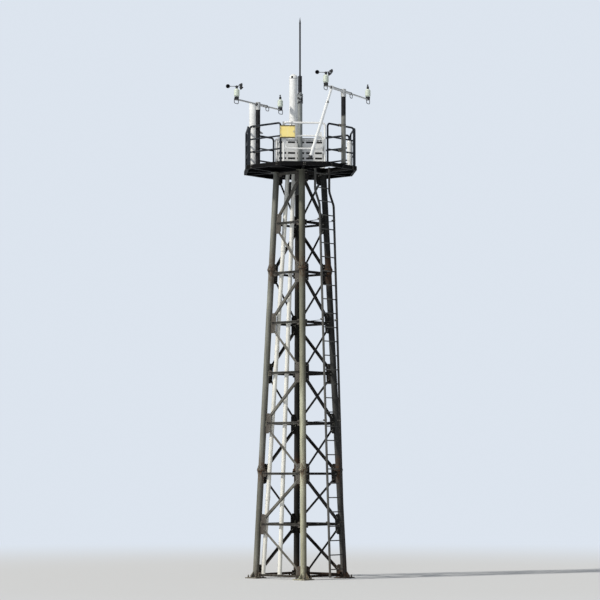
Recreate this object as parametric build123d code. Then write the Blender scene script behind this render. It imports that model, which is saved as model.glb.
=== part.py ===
"""Wind measurement tower: a tapered square lattice tower with a railed octagonal platform.

Millimetres, +Z up.  The origin is the middle of the four base plates, on their underside.
The front leg stands at (+X, -Y); the ladder climbs the +X side.
"""
from build123d import *
import os
from math import acos, atan, atan2, cos, pi, sin, sqrt, tan

# Tower: four leaning legs
leg_offset_base = 667.0
leg_taper = 0.0357
leg_radius = 66.5
leg_wall = 6.0
leg_top = 8670.0
base_plate_side = 320.0
base_plate_thick = 20.0
base_vent_radius = 35.0
anchor_offset = 110.0
anchor_hole_radius = 11.0
base_rib_reach = 85.0
base_rib_height = 130.0
base_rib_thick = 10.0
cap_plate_side = 180.0
cap_plate_thick = 12.0
splice_levels = (2, 6)
splice_rise = 80.0
splice_radius = 93.0
splice_thick = 16.0
splice_gasket_thick = 3.0
splice_gasket_radius = 84.0
splice_notch = 2.0
splice_rib_height = 90.0
splice_rib_thick = 8.0
splice_rib_edge = 5.0
splice_rib_turns = (-90.0, -45.0, 0.0, 135.0)

# Lattice faces
bay_count = 8
bottom_level = 70.0
top_level = 8630.0
gusset_thick = 8.0
gusset_reach = 205.0
gusset_neck = 145.0
gusset_half_height = 215.0
gusset_neck_height = 165.0
gusset_end_gap = 6.0
cleat_half_height = 60.0
cleat_reach = 150.0
angle_width = 50.0
angle_thick = 5.0
horizontal_setback = 85.0
diagonal_setback = 175.0

# Platform
deck_apothem = 1180.0
deck_thick = 8.0
deck_joint = 6.0
beam_depth = 80.0
beam_width = 50.0
beam_flange = 8.0
beam_web = 6.0
hatch_near = 420.0
hatch_far = 1000.0
hatch_half_width = 320.0

# Guardrail
rail_apothem = 1140.0
rail_radius = 21.0
rail_height = 820.0
rail_step = 272.0
low_rail_radius = 17.0
loop_bend_radius = 90.0
loop_overlap = 5.0
rail_bend_radius = 70.0
rail_end_inset = 35.0
rail_foot_radius = 30.0
rail_foot_thick = 8.0

# Ladder
ladder_standoff = 330.0
ladder_half_width = 235.0
ladder_centre = 40.0
ladder_rail_radius = 25.0
ladder_rung_radius = 12.0
ladder_rung_step = 300.0
ladder_bottom = 60.0
ladder_bend_low = 7930.0
ladder_bend_high = 8240.0
ladder_bend_radius = 300.0
ladder_top_x = 590.0
ladder_bracket_width = 40.0
ladder_bracket_thick = 8.0
ladder_bracket_levels = (1, 3, 5, 7)

# Conduits inside the front left face
conduit_radius = 45.0
conduit_depth = 112.0
conduit_bottom = 40.0
conduit_top = 8660.0
conduit_clamp_thick = 6.0
conduit_clamp_width = 40.0
conduit_stem_half = 12.0
left_conduit_foot = -560.0
left_conduit_head = -135.0
right_conduit_foot = -95.0
right_conduit_head = 35.0

# Junction box below the deck
junction_width = 210.0
junction_depth = 120.0
junction_height = 270.0
junction_x = -60.0
junction_y = -130.0
junction_drop = 210.0
junction_strap_width = 70.0
junction_strap_thick = 6.0

# Equipment cabinet, turned 45 degrees to face the front
cabinet_width = 1060.0
cabinet_depth = 380.0
cabinet_height = 665.0
cabinet_right = 20.0
cabinet_back = 270.0
cabinet_plinth = 30.0
cabinet_plinth_inset = 25.0
cabinet_edge_radius = 12.0
cabinet_lid_overhang = 12.0
cabinet_lid_thick = 22.0
vent_width = 155.0
vent_height = 42.0
vent_depth = 18.0
vent_count = 5
vent_pitch = 195.0
vent_rows = (236.0, 351.0, 585.0)

# Lightning rod on its pipe, at the tower's axis
rod_pipe_radius = 52.0
rod_pipe_wall = 4.0
rod_pipe_top = 10380.0
rod_clamp_radius = 62.0
rod_clamp_height = 190.0
rod_clamp_cover = 16.0
rod_sleeve_radius = 43.0
rod_sleeve_top = 10785.0
rod_radius = 18.0
rod_point_radius = 1.5
rod_tip_height = 120.0
rod_top = 12080.0
pole_foot_radius = 95.0
pole_foot_thick = 10.0

# White columns
centre_column_radius = 92.0
centre_column_x = -505.0
centre_column_y = 372.0
centre_column_top = 10940.0
centre_column_notch_width = 46.0
centre_column_notch_height = 54.0
centre_column_notch_drop = 76.0
centre_column_notch_depth = 22.0
centre_column_notch_turn = 20.0
left_column_radius = 92.0
left_column_x = -764.0
left_column_y = -652.0
left_column_top = 10180.0
short_column_radius = 58.0
short_column_x = 998.0
short_column_y = 474.0
short_column_top = 9355.0
column_foot_extra = 18.0
column_foot_thick = 12.0

# Sensor masts
left_mast_x = -295.0
left_mast_y = -1035.0
left_mast_radius = 48.0
left_mast_top = 10030.0
right_mast_x = 1240.0
right_mast_y = -30.0
right_mast_radius = 49.0
right_mast_top = 10274.0
mast_wall = 5.0
mast_shelf_reach = 118.0
mast_shelf_half_width = 75.0
mast_shelf_thick = 12.0
mast_shelf_web = 10.0
mast_shelf_web_depth = 80.0

# Crossarms with a cup sensor at one end and a vane at the other
left_arm_heading = 97.0
right_arm_heading = 102.7
arm_radius = 17.0
arm_sleeve_radius = 29.0
tee_height = 80.0
left_arm_cup_reach = 790.0
left_arm_vane_reach = 850.0
left_sleeve_cup_reach = 70.0
left_sleeve_vane_reach = 330.0
right_arm_cup_reach = 817.0
right_arm_vane_reach = 1180.0
right_sleeve_cup_reach = 585.0
right_sleeve_vane_reach = 345.0

# Sensor housings and rotors
socket_radius = 34.0
socket_height = 60.0
socket_lip = 5.0
sensor_radius = 58.0
sensor_neck_radius = 42.0
sensor_height = 150.0
sensor_cap_height = 34.0
shaft_radius = 7.0
shaft_length = 46.0
running_gap = 0.4
hub_lift = 6.0
hub_radius = 25.0
hub_height = 46.0
cup_count = 3
cup_orbit = 185.0
cup_radius = 43.0
cup_depth = 66.0
cup_wall = 2.0
cup_tip_radius = 9.0
cup_arm_radius = 6.0
cup_arm_seat = 15.0
left_cup_heading = 220.5
right_cup_heading = 226.0
vane_rod_radius = 7.0
vane_nose_reach = 210.0
vane_tail_reach = 330.0
vane_fin_length = 190.0
vane_fin_height = 150.0
vane_fin_thick = 3.0
vane_nose_radius = 17.0
vane_nose_length = 70.0
left_vane_heading = 130.5
right_vane_heading = 128.0

# Stay between the right crossarm and the front panel's low rail
stay_radius = 33.0
stay_foot_along = 117.0
stay_foot_rise = 60.0
stay_foot_height = 55.0
stay_foot_radius = 38.0
stay_thin_radius = 27.0
stay_thin_share = 0.2
stay_clamp_half_width = 40.0
stay_clamp_half_height = 26.0
stay_reach = 545.0
stay_collar_half_length = 34.0
stay_collar_wall = 9.0

# Leads that hang in short loops under the crossarms
lead_radius = 7.0
lead_bend_radius = 34.0
lead_out = 88.0
lead_rise = 20.0
lead_drop = 92.0
lead_return = 62.0
sleeve_lead_out = 78.0
sleeve_lead_in = 34.0

# Small boxes on the guardrail
display_width = 310.0
display_height = 270.0
display_depth = 60.0
display_along = -355.0
display_rise = 484.0
display_strip = 14.0
terminal_width = 120.0
terminal_height = 170.0
terminal_depth = 70.0
solar_width = 300.0
solar_length = 240.0
solar_thick = 22.0
solar_tilt = 35.0
solar_post_height = 80.0
solar_grip_width = 100.0
solar_grip_thick = 20.0
solar_along = -190.0

slope = atan(leg_taper)
leg_reach = leg_radius / cos(atan(sin(slope)))
deck_top = leg_top + cap_plate_thick + beam_depth + deck_thick
beam_top = deck_top - deck_thick
beam_bottom = beam_top - beam_depth
bay = (top_level - bottom_level) / bay_count


def leg_offset(z):
    """Distance of the leg axes from the X and Y axes at height z."""
    return leg_offset_base - leg_taper * z


def level(k):
    """Height of the k-th row of horizontals."""
    return bottom_level + k * bay


def rod(p, q, radius):
    """A round bar from point p to point q."""
    p, q = Vector(p), Vector(q)
    return Solid.make_cylinder(radius, (q - p).length, Plane(origin=p, z_dir=q - p))


def pipe(p, q, radius, wall):
    """A round tube from point p to point q, open at both ends."""
    return rod(p, q, radius) - rod(p, q, radius - wall)


def upright(x, y, low, high, radius):
    """A vertical round bar."""
    return rod((x, y, low), (x, y, high), radius)


def block(low, high):
    """A box from its lowest corner to its highest corner."""
    size = [b - a for a, b in zip(low, high)]
    return Pos(*low) * Box(*size, align=(Align.MIN, Align.MIN, Align.MIN))


def prism(plane, points, length):
    """A straight prism whose outline lies in the plane."""
    return extrude(plane * Polygon(*points, align=None), amount=length, dir=plane.z_dir)


def joined(pieces):
    """All pieces fused to one."""
    first, *rest = pieces
    return first.fuse(*rest) if rest else first


def spin(piece, turn):
    """A copy turned about the tower's axis, in degrees."""
    return Rot(0, 0, turn) * piece


def save(piece, name):
    """Write one sub-part."""
    solids = list(piece.solids()) if hasattr(piece, "solids") else list(piece)
    whole = solids[0] if len(solids) == 1 else Compound(children=solids)
    whole.label = name
    export_step(whole, f"parts/{name}.step")


# Legs

side_on = (Align.MIN, Align.CENTER, Align.CENTER)
leg_foot = Vector(leg_offset(0), -leg_offset(0), 0)
leg_head = Vector(leg_offset(leg_top), -leg_offset(leg_top), leg_top)
leg_along = (leg_head - leg_foot).normalized()
leg_bore = leg_radius - leg_wall


def splice_plane(k):
    """The joint between two leg sections above row k, square to the front leg."""
    seat = leg_foot + leg_along * ((level(k) + splice_rise) / leg_along.Z)
    return Plane(origin=seat, x_dir=(1, 0, 0), z_dir=leg_along)


def make_splice(k):
    """A pair of flanges on a gasket, with ribs above and below."""
    low, high = -splice_thick, splice_gasket_thick + splice_thick
    pieces = [upright(0, 0, low, 0, splice_radius),
              upright(0, 0, 0, splice_gasket_thick, splice_gasket_radius),
              upright(0, 0, splice_gasket_thick, high, splice_radius)]
    edge = splice_radius - splice_rib_edge
    side = Plane(origin=(0, splice_rib_thick / 2, 0), x_dir=(1, 0, 0), z_dir=(0, -1, 0))
    for start, rise in ((low, -splice_rib_height), (high, splice_rib_height)):
        outline = [(leg_bore, start), (edge, start), (leg_radius, start + rise), (leg_bore, start + rise)]
        rib = prism(side, outline, splice_rib_thick)
        pieces += [spin(rib, turn) for turn in splice_rib_turns]
    return splice_plane(k).location * joined(pieces)


def make_leg():
    """The front leg with its base plate, ribs, splices and cap plate."""
    low = leg_foot - leg_along * leg_radius
    high = leg_head + leg_along * leg_radius
    inside = block((0, -2 * leg_offset_base, base_plate_thick), (2 * leg_offset_base, 0, leg_top))
    tube = joined([rod(low, high, leg_radius) & inside] + [make_splice(k) for k in splice_levels])
    tube -= rod(low, high, leg_bore) & inside
    half = base_plate_side / 2
    x, y = leg_foot.X, leg_foot.Y
    plate = block((x - half, y - half, 0), (x + half, y + half, base_plate_thick))
    plate -= upright(x, y, 0, base_plate_thick, base_vent_radius)
    for dx in (-anchor_offset, anchor_offset):
        for dy in (-anchor_offset, anchor_offset):
            plate -= upright(x + dx, y + dy, 0, base_plate_thick, anchor_hole_radius)
    cap_half = cap_plate_side / 2
    cap = block((leg_head.X - cap_half, leg_head.Y - cap_half, leg_top),
                (leg_head.X + cap_half, leg_head.Y + cap_half, leg_top + cap_plate_thick))
    reach = leg_radius + base_rib_reach
    profile = [(0, 0), (reach, 0), (reach, base_rib_height / 4), (leg_radius, base_rib_height),
               (0, base_rib_height)]
    side = Plane(origin=(0, base_rib_thick / 2, 0), x_dir=(1, 0, 0), z_dir=(0, -1, 0))
    rib = prism(side, profile, base_rib_thick)
    ribs = [Pos(x, y, base_plate_thick) * spin(rib, turn) for turn in (0, -90)]
    shoe = joined(ribs) - rod(low, high, leg_bore)
    return joined([tube, shoe, plate, cap])


# Lattice faces, drawn flat: local X along the face, local Y up the slope, local Z outwards

face_plane = Plane(origin=(leg_offset_base, 0, 0), x_dir=(0, 1, 0), z_dir=(cos(slope), 0, sin(slope)))


def climb(z):
    """Distance up the slope of a face at height z."""
    return z / cos(slope)


def face_leg(v):
    """Half-distance between the leg axes, v up the slope."""
    return leg_offset_base - v * sin(slope)


def angle_bar(p, q, side, flip):
    """An angle bar from p to q flat on the gussets' outer (side 1) or inner (side -1) face."""
    p, q = Vector(*p, side * gusset_thick / 2), Vector(*q, side * gusset_thick / 2)
    run = (q - p).normalized()
    plane = Plane(origin=p, x_dir=(-run.Y, run.X, 0), z_dir=run)
    half = angle_width / 2
    outline = [(-half, 0), (half, 0), (half, angle_thick), (-half + angle_thick, angle_thick),
               (-half + angle_thick, angle_width), (-half, angle_width)]
    return prism(plane, [(x * flip, y * side) for x, y in outline], (q - p).length)


def node_plate(v, hand, below, above, neck, reach, neck_height):
    """The plate that joins the bars to one leg, v up the slope."""
    neck_low, neck_high = -min(below, neck_height), min(above, neck_height)

    def corner(out, up):
        return (hand * (face_leg(v) - sin(slope) * up - out), v + up)

    outline = [corner(leg_reach, -below), corner(neck, -below), corner(reach, neck_low),
               corner(reach, neck_high), corner(neck, above), corner(leg_reach, above)]
    return prism(Plane(origin=(0, 0, -gusset_thick / 2)), outline, gusset_thick)


def diagonal(v0, v1, hand):
    """The diagonal of one bay, from the leg on the -hand side at v0 to the other leg at v1."""
    start = Vector(-hand * face_leg(v0), v0)
    end = Vector(hand * face_leg(v1), v1)
    run = (end - start).normalized() * diagonal_setback
    start, end = start + run, end - run
    return angle_bar((start.X, start.Y), (end.X, end.Y), -1, hand)


def make_lattice(hand):
    """One face: horizontals and zigzag diagonals on gusset plates.

    The diagonals meet the leg on the -hand side at the even rows.
    """
    rows = [climb(level(k)) for k in range(bay_count + 1)]
    bottom_reach = climb(level(0) - base_plate_thick - gusset_end_gap)
    top_reach = climb(leg_top - gusset_end_gap - level(bay_count))
    pieces = []
    for k, v in enumerate(rows):
        for side in (1, -1):
            braced = (k % 2 == 0) == (side == -hand)
            height = gusset_half_height if braced else cleat_half_height
            neck, reach = (gusset_neck, gusset_reach) if braced else (cleat_reach, cleat_reach)
            below = bottom_reach if k == 0 else height
            above = min(top_reach, height) if k == bay_count else height
            pieces.append(node_plate(v, side, below, above, neck, reach, gusset_neck_height))
        end = face_leg(v) - horizontal_setback
        pieces.append(angle_bar((-end, v), (end, v), 1, -1))
    for k, (v0, v1) in enumerate(zip(rows, rows[1:])):
        pieces.append(diagonal(v0, v1, hand if k % 2 == 0 else -hand))
    face = face_plane * joined(pieces)
    low, high = -splice_thick - splice_notch, splice_gasket_thick + splice_thick + splice_notch
    for k in splice_levels:
        notch = splice_plane(k).location * upright(0, 0, low, high, splice_radius + splice_notch)
        face = face - notch - spin(notch, 90)
    return face


# Ladder on the +X face

def ladder_x(z):
    """Distance of the ladder's middle plane from the tower's axis."""
    straight = leg_offset(z) + ladder_standoff
    if z <= ladder_bend_low:
        return straight
    low = leg_offset(ladder_bend_low) + ladder_standoff
    share = min(1, (z - ladder_bend_low) / (ladder_bend_high - ladder_bend_low))
    return low + (ladder_top_x - low) * share


def make_ladder():
    """Two round rails bent in below the hatch, and round rungs."""
    bends = [(ladder_x(z), z) for z in (ladder_bottom, ladder_bend_low, ladder_bend_high, deck_top)]
    foot_run = Vector(bends[1][0] - bends[0][0], 0, bends[1][1] - bends[0][1])
    pieces = []
    for side in (-1, 1):
        y = ladder_centre + side * ladder_half_width
        corners = [(x, y, z) for x, z in bends]
        path = FilletPolyline(*corners, radius=ladder_bend_radius)
        ring = Plane(origin=corners[0], z_dir=foot_run) * Circle(ladder_rail_radius)
        pieces.append(sweep(ring, path=path).solid())
    z = ladder_bottom + ladder_rung_step / 2
    while z < deck_top:
        x = ladder_x(z)
        near, far = ladder_centre - ladder_half_width, ladder_centre + ladder_half_width
        pieces.append(rod((x, near, z), (x, far, z), ladder_rung_radius))
        z += ladder_rung_step
    return joined(pieces)


def make_ladder_brackets():
    """Flat bars on the horizontals' outer flange that reach to the ladder's rails."""
    inner = gusset_thick / 2 + angle_thick
    outer = ladder_standoff * cos(slope)
    pieces = []
    for k in ladder_bracket_levels:
        seat = climb(level(k)) + angle_width / 2
        for side in (-1, 1):
            middle = ladder_centre + side * ladder_half_width
            half = ladder_bracket_width / 2
            bar = block((middle - half, seat, inner), (middle + half, seat + ladder_bracket_thick, outer))
            low, high = seat - ladder_bracket_width, seat + ladder_bracket_width
            rail = rod((middle, low, outer), (middle, high, outer), ladder_rail_radius)
            pieces.append(face_plane * (bar - rail))
    return pieces


# Conduits with their clamps, inside the -Y face

def make_conduit(foot_u, head_u):
    """One straight conduit, clamped to each row of horizontals, u along the face."""
    foot = Vector(foot_u, climb(conduit_bottom), -conduit_depth)
    head = Vector(head_u, climb(conduit_top), -conduit_depth)
    pieces = [rod(foot, head, conduit_radius)]
    run = (head - foot).normalized()
    half_width = conduit_clamp_width / 2
    for k in range(1, bay_count):
        v = climb(level(k))
        middle = foot + run * ((v - foot.Y) / run.Y)
        on_gusset = face_leg(v) - abs(middle.X) < gusset_reach + half_width
        seat = -gusset_thick / 2 if on_gusset else gusset_thick / 2
        ring_radius = conduit_radius + conduit_clamp_thick
        pieces.append(rod(middle - run * half_width, middle + run * half_width, ring_radius))
        pieces.append(block((middle.X - half_width, v - conduit_stem_half, -conduit_depth),
                            (middle.X + half_width, v + conduit_stem_half, seat)))
    return spin(face_plane * joined(pieces), -90)


def make_junction_box():
    """A box on a strap that hangs from the deck, behind the conduits."""
    top = beam_bottom - junction_drop
    low = top - junction_height
    back = junction_y + junction_depth / 2
    half_strap = junction_strap_width / 2
    strap = block((junction_x - half_strap, back, low),
                  (junction_x + half_strap, back + junction_strap_thick, beam_top))
    box = block((junction_x - junction_width / 2, back - junction_depth, low),
                (junction_x + junction_width / 2, back, top))
    return joined([strap, box])


# Platform

def octagon(apothem, low, high):
    """An octagonal prism with flats across X and Y."""
    outline = RegularPolygon(apothem, 8, major_radius=False, rotation=22.5)
    return extrude(Pos(0, 0, low) * outline, amount=high - low)


def make_rim():
    """The channel that runs round the platform's edge."""
    outer = octagon(deck_apothem, beam_bottom, beam_top)
    hollow = octagon(deck_apothem - beam_web, beam_bottom + beam_flange, beam_top - beam_flange)
    middle = octagon(deck_apothem - beam_width, beam_bottom, beam_top)
    return outer - hollow - middle


def beam_section(length):
    """An H-beam along local Z, its depth along local Y."""
    half, depth = beam_width / 2, beam_depth / 2
    web, lip = beam_web / 2, beam_depth / 2 - beam_flange
    outline = [(-half, -depth), (half, -depth), (half, -lip), (web, -lip), (web, lip), (half, lip),
               (half, depth), (-half, depth), (-half, lip), (-web, lip), (-web, -lip), (-half, -lip)]
    return extrude(Polygon(*outline, align=None), amount=length)


def beam(start, end):
    """An H-beam between two points of the platform's plane."""
    height = (beam_bottom + beam_top) / 2
    start, end = Vector(*start, height), Vector(*end, height)
    run = (end - start).normalized()
    plane = Plane(origin=start, x_dir=run.cross(Vector(0, 0, 1)) * -1, z_dir=run)
    return plane * beam_section((end - start).length)


beam_offset = leg_offset(leg_top)
rim_inside = deck_apothem - beam_width


def make_main_beam(side):
    """A beam along X over two legs, from rim to rim."""
    return beam((-rim_inside, side * beam_offset), (rim_inside, side * beam_offset))


def make_cross_beams(side):
    """Beams along Y over two legs, cut round the main beams."""
    edge = beam_offset - beam_width / 2
    outer_edge = beam_offset + beam_width / 2
    x = side * beam_offset
    return [beam((x, -edge), (x, edge)), beam((x, outer_edge), (x, rim_inside)),
            beam((x, -rim_inside), (x, -outer_edge))]


def make_outriggers():
    """Four short beams from the beam corners to the slanting sides of the rim."""
    start = beam_offset + beam_width
    end = rim_inside / sqrt(2)
    return [spin(beam((start, -start), (end, -end)), 90 * k) for k in range(4)]


def make_deck():
    """Four plates with the ladder hatch between them."""
    whole = octagon(deck_apothem, beam_top, deck_top)
    far = deck_apothem + deck_joint
    cuts = [
        ((-far, -far), (hatch_near, far)),
        ((hatch_near + deck_joint, hatch_half_width), (far, far)),
        ((hatch_near + deck_joint, -far), (far, -hatch_half_width)),
        ((hatch_far, -hatch_half_width + deck_joint), (far, hatch_half_width - deck_joint)),
    ]
    return [whole & block((*low, beam_top), (*high, deck_top)) for low, high in cuts]


# Guardrail

def make_guard_panel(looped):
    """The +X panel: a tube bent over two legs, with two rails or one long loop below it."""
    half = rail_apothem * tan(pi / 8) - rail_end_inset
    low, high = deck_top + rail_foot_thick, deck_top + rail_height
    corners = [(rail_apothem, -half, low), (rail_apothem, -half, high),
               (rail_apothem, half, high), (rail_apothem, half, low)]
    path = FilletPolyline(*corners, radius=rail_bend_radius)
    ring = Plane(origin=corners[0], z_dir=(0, 0, 1)) * Circle(rail_radius)
    pieces = [sweep(ring, path=path).solid()]
    rails = (deck_top + rail_step, deck_top + 2 * rail_step)
    if looped:
        side = half - rail_radius - low_rail_radius + loop_overlap
        middle = Plane(origin=(rail_apothem, 0, sum(rails) / 2), x_dir=(0, 1, 0), z_dir=(1, 0, 0))
        loop = middle * RectangleRounded(2 * side, rails[1] - rails[0], loop_bend_radius)
        section = Plane(origin=(rail_apothem, 0, rails[0]), z_dir=(0, 1, 0)) * Circle(low_rail_radius)
        pieces.append(sweep(section, path=loop.wire()).solid())
    else:
        for z in rails:
            pieces.append(rod((rail_apothem, -half, z), (rail_apothem, half, z), low_rail_radius))
    for y in (-half, half):
        pieces.append(upright(rail_apothem, y, deck_top, low, rail_foot_radius))
    return joined(pieces)


# Things on the deck

def facing(right, back, z):
    """A place on the deck in the frame turned to face the front, +Y away from the front."""
    return Rot(0, 0, 45) * Pos(right, back, z)


def make_cabinet():
    """The equipment cabinet with a plinth, an overhanging lid and rows of vents."""
    body_low = deck_top + cabinet_plinth
    body_high = deck_top + cabinet_height - cabinet_lid_thick
    centre = Align.CENTER
    floor = (centre, centre, Align.MIN)
    body = Pos(0, 0, body_low) * Box(cabinet_width, cabinet_depth, body_high - body_low, align=floor)
    body = fillet(body.edges().filter_by(Axis.Z), cabinet_edge_radius)
    inset, outset = 2 * cabinet_plinth_inset, 2 * cabinet_lid_overhang
    plinth = Box(cabinet_width - inset, cabinet_depth - inset, cabinet_plinth, align=floor)
    plinth = Pos(0, 0, deck_top) * plinth
    lid = Box(cabinet_width + outset, cabinet_depth + outset, cabinet_lid_thick, align=floor)
    lid = Pos(0, 0, body_high) * lid
    whole = joined([body, plinth, lid])
    for row in vent_rows:
        for k in range(vent_count):
            x = (k - (vent_count - 1) / 2) * vent_pitch
            z = deck_top + row
            for face in (-1, 1):
                whole -= Pos(x, face * cabinet_depth / 2, z) * Box(vent_width, 2 * vent_depth, vent_height)
    return facing(cabinet_right, cabinet_back, 0) * whole


def make_rod_pipe():
    """The pipe that carries the lightning rod, with its foot plate."""
    tube = pipe((0, 0, deck_top), (0, 0, rod_pipe_top), rod_pipe_radius, rod_pipe_wall)
    foot = upright(0, 0, deck_top, deck_top + pole_foot_thick, pole_foot_radius)
    return joined([tube, foot])


def make_lightning_rod():
    """The rod with its sleeve, on a clamp round the pipe's head."""
    low = rod_pipe_top - rod_clamp_height
    clamp = upright(0, 0, low, rod_pipe_top + rod_clamp_cover, rod_clamp_radius)
    clamp -= upright(0, 0, low, rod_pipe_top, rod_pipe_radius)
    sleeve = upright(0, 0, rod_pipe_top + rod_clamp_cover, rod_sleeve_top, rod_sleeve_radius)
    needle = upright(0, 0, rod_sleeve_top, rod_top - rod_tip_height, rod_radius)
    tip = Solid.make_cone(rod_radius, rod_point_radius, rod_tip_height)
    tip = Pos(0, 0, rod_top - rod_tip_height) * tip
    return joined([clamp, sleeve, needle, tip])


def column(x, y, radius, top, domed):
    """A closed round column on a foot plate, with a domed or a flat cap."""
    foot = upright(x, y, deck_top, deck_top + column_foot_thick, radius + column_foot_extra)
    if not domed:
        return joined([foot, upright(x, y, deck_top, top, radius)])
    shaft = upright(x, y, deck_top, top - radius, radius)
    dome = Pos(x, y, top - radius) * Solid.make_sphere(radius, angle1=0, angle2=90)
    return joined([foot, shaft, dome])


def make_centre_column():
    """The tall column, with four notches under its dome."""
    whole = column(centre_column_x, centre_column_y, centre_column_radius, centre_column_top, True)
    notch_z = centre_column_top - centre_column_notch_drop
    cut = Box(centre_column_radius, centre_column_notch_width, centre_column_notch_height, align=side_on)
    for turn in (0, 90, 180, 270):
        place = Pos(centre_column_x, centre_column_y, notch_z) * Rot(0, 0, turn + centre_column_notch_turn)
        whole -= place * Pos(centre_column_radius - centre_column_notch_depth, 0, 0) * cut
    return whole


def make_mast(x, y, radius, top):
    """A round sensor mast on a foot plate."""
    tube = pipe((x, y, deck_top), (x, y, top), radius, mast_wall)
    foot = upright(x, y, deck_top, deck_top + pole_foot_thick, radius + column_foot_extra)
    return joined([tube, foot])


def make_mast_shelf():
    """The shelf outside the rim that carries the right mast."""
    low = deck_top - mast_shelf_thick
    start = deck_apothem
    plate = block((start, right_mast_y - mast_shelf_half_width, low),
                  (start + mast_shelf_reach, right_mast_y + mast_shelf_half_width, deck_top))
    plane = Plane(origin=(0, right_mast_y + mast_shelf_web / 2, 0), x_dir=(1, 0, 0), z_dir=(0, -1, 0))
    web = prism(plane, [(start, low), (start + mast_shelf_reach, low), (start, low - mast_shelf_web_depth)],
                mast_shelf_web)
    return joined([plate, web])


# Crossarms and sensors

def arm_frame(x, y, top, heading):
    """A place on a mast's head: local X along the crossarm towards the vane, local Z up."""
    return Pos(x, y, top + tee_height / 2) * Rot(0, 0, heading)


left_arm = arm_frame(left_mast_x, left_mast_y, left_mast_top, left_arm_heading)
right_arm = arm_frame(right_mast_x, right_mast_y, right_mast_top, right_arm_heading)


def arm_point(arm, reach):
    """A point on a crossarm's axis, positive reach towards the vane."""
    return (arm * Pos(reach, 0, 0)).position


def make_crossarm(arm, radius, reaches, sleeve):
    """The arm with its tee on the mast's head, a thick middle and a socket at each end."""
    half = tee_height / 2
    pieces = [
        rod((-reaches[0], 0, 0), (reaches[1], 0, 0), arm_radius),
        rod((-sleeve[0], 0, 0), (sleeve[1], 0, 0), arm_sleeve_radius),
        upright(0, 0, -half, half, radius + mast_wall),
        pipe((0, 0, -half - tee_height), (0, 0, -half), radius + mast_wall, mast_wall),
    ]
    for end in (-reaches[0], reaches[1]):
        pieces.append(upright(end, 0, -arm_radius - socket_lip, socket_height - arm_radius, socket_radius))
    return arm * joined(pieces)


def sensor_lead(arm, reach):
    """A lead from a sensor's socket, out past the arm's end and back up into the arm."""
    line = FilletPolyline((0, 0, lead_rise), (lead_out, 0, lead_rise), (lead_out, 0, -lead_drop),
                          (-lead_return, 0, -lead_drop), (-lead_return, 0, 0), radius=lead_bend_radius)
    ring = Plane(origin=(0, 0, lead_rise), z_dir=(1, 0, 0)) * Circle(lead_radius)
    lead = sweep(ring, path=line).solid()
    lead -= upright(0, 0, -lead_drop / 2, lead_rise + 2 * lead_radius, socket_radius)
    lead -= rod((-2 * lead_return, 0, 0), (0, 0, 0), arm_radius)
    turn = 0 if reach > 0 else 180
    return arm * Pos(reach, 0, 0) * spin(lead, turn)


def sleeve_lead(arm, reach):
    """A lead that drops out of the thin arm and rises into the thick middle."""
    corners = [(sleeve_lead_out, 0, 0), (sleeve_lead_out, 0, -lead_drop),
               (-sleeve_lead_in, 0, -lead_drop), (-sleeve_lead_in, 0, 0)]
    line = FilletPolyline(*corners, radius=lead_bend_radius)
    ring = Plane(origin=(sleeve_lead_out, 0, 0), z_dir=(0, 0, -1)) * Circle(lead_radius)
    lead = sweep(ring, path=line).solid()
    lead -= rod((0, 0, 0), (2 * sleeve_lead_out, 0, 0), arm_radius)
    lead -= rod((-2 * sleeve_lead_in, 0, 0), (0, 0, 0), arm_sleeve_radius)
    return arm * Pos(reach, 0, 0) * lead


def sensor_base(point):
    """Height at which a sensor's housing stands on its socket."""
    return point.Z + socket_height - arm_radius


def make_sensor(point):
    """A sensor housing, turned about its shaft."""
    low = sensor_base(point)
    shoulder = low + sensor_height
    top = shoulder + sensor_cap_height
    outline = [(0, low), (sensor_neck_radius, low), (sensor_neck_radius, low + sensor_cap_height / 2),
               (sensor_radius, low + sensor_cap_height), (sensor_radius, shoulder), (hub_radius, top),
               (shaft_radius, top), (shaft_radius, top + shaft_length), (0, top + shaft_length)]
    profile = Plane.XZ * Polygon(*outline, align=None)
    return Pos(point.X, point.Y, 0) * revolve(profile, axis=Axis.Z)


def hub_low(point):
    """Height of the underside of a rotor's hub."""
    return sensor_base(point) + sensor_height + sensor_cap_height + hub_lift


def make_hub(point):
    """A rotor's hub, bored to run on the shaft."""
    low = hub_low(point)
    roof = low - hub_lift + shaft_length + running_gap
    hub = upright(point.X, point.Y, low, low + hub_height, hub_radius)
    hub -= upright(point.X, point.Y, low, roof, shaft_radius + running_gap)
    return hub


def nose_cone(mouth, tip, centre, lean, lead):
    """A solid cone round the Y axis with a ball nose; lead carries it on past the mouth."""
    edge = (tip * cos(lean), centre + tip * sin(lean))
    half_way = pi / 4 + lean / 2
    middle = (tip * cos(half_way), centre + tip * sin(half_way))
    end = (0, centre + tip)
    line = Polyline(end, (0, -lead), (mouth + lead * tan(lean), -lead), edge)
    outline = make_face([*line.edges(), ThreePointArc(edge, middle, end)])
    return revolve(outline, axis=Axis.Y)


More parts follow.
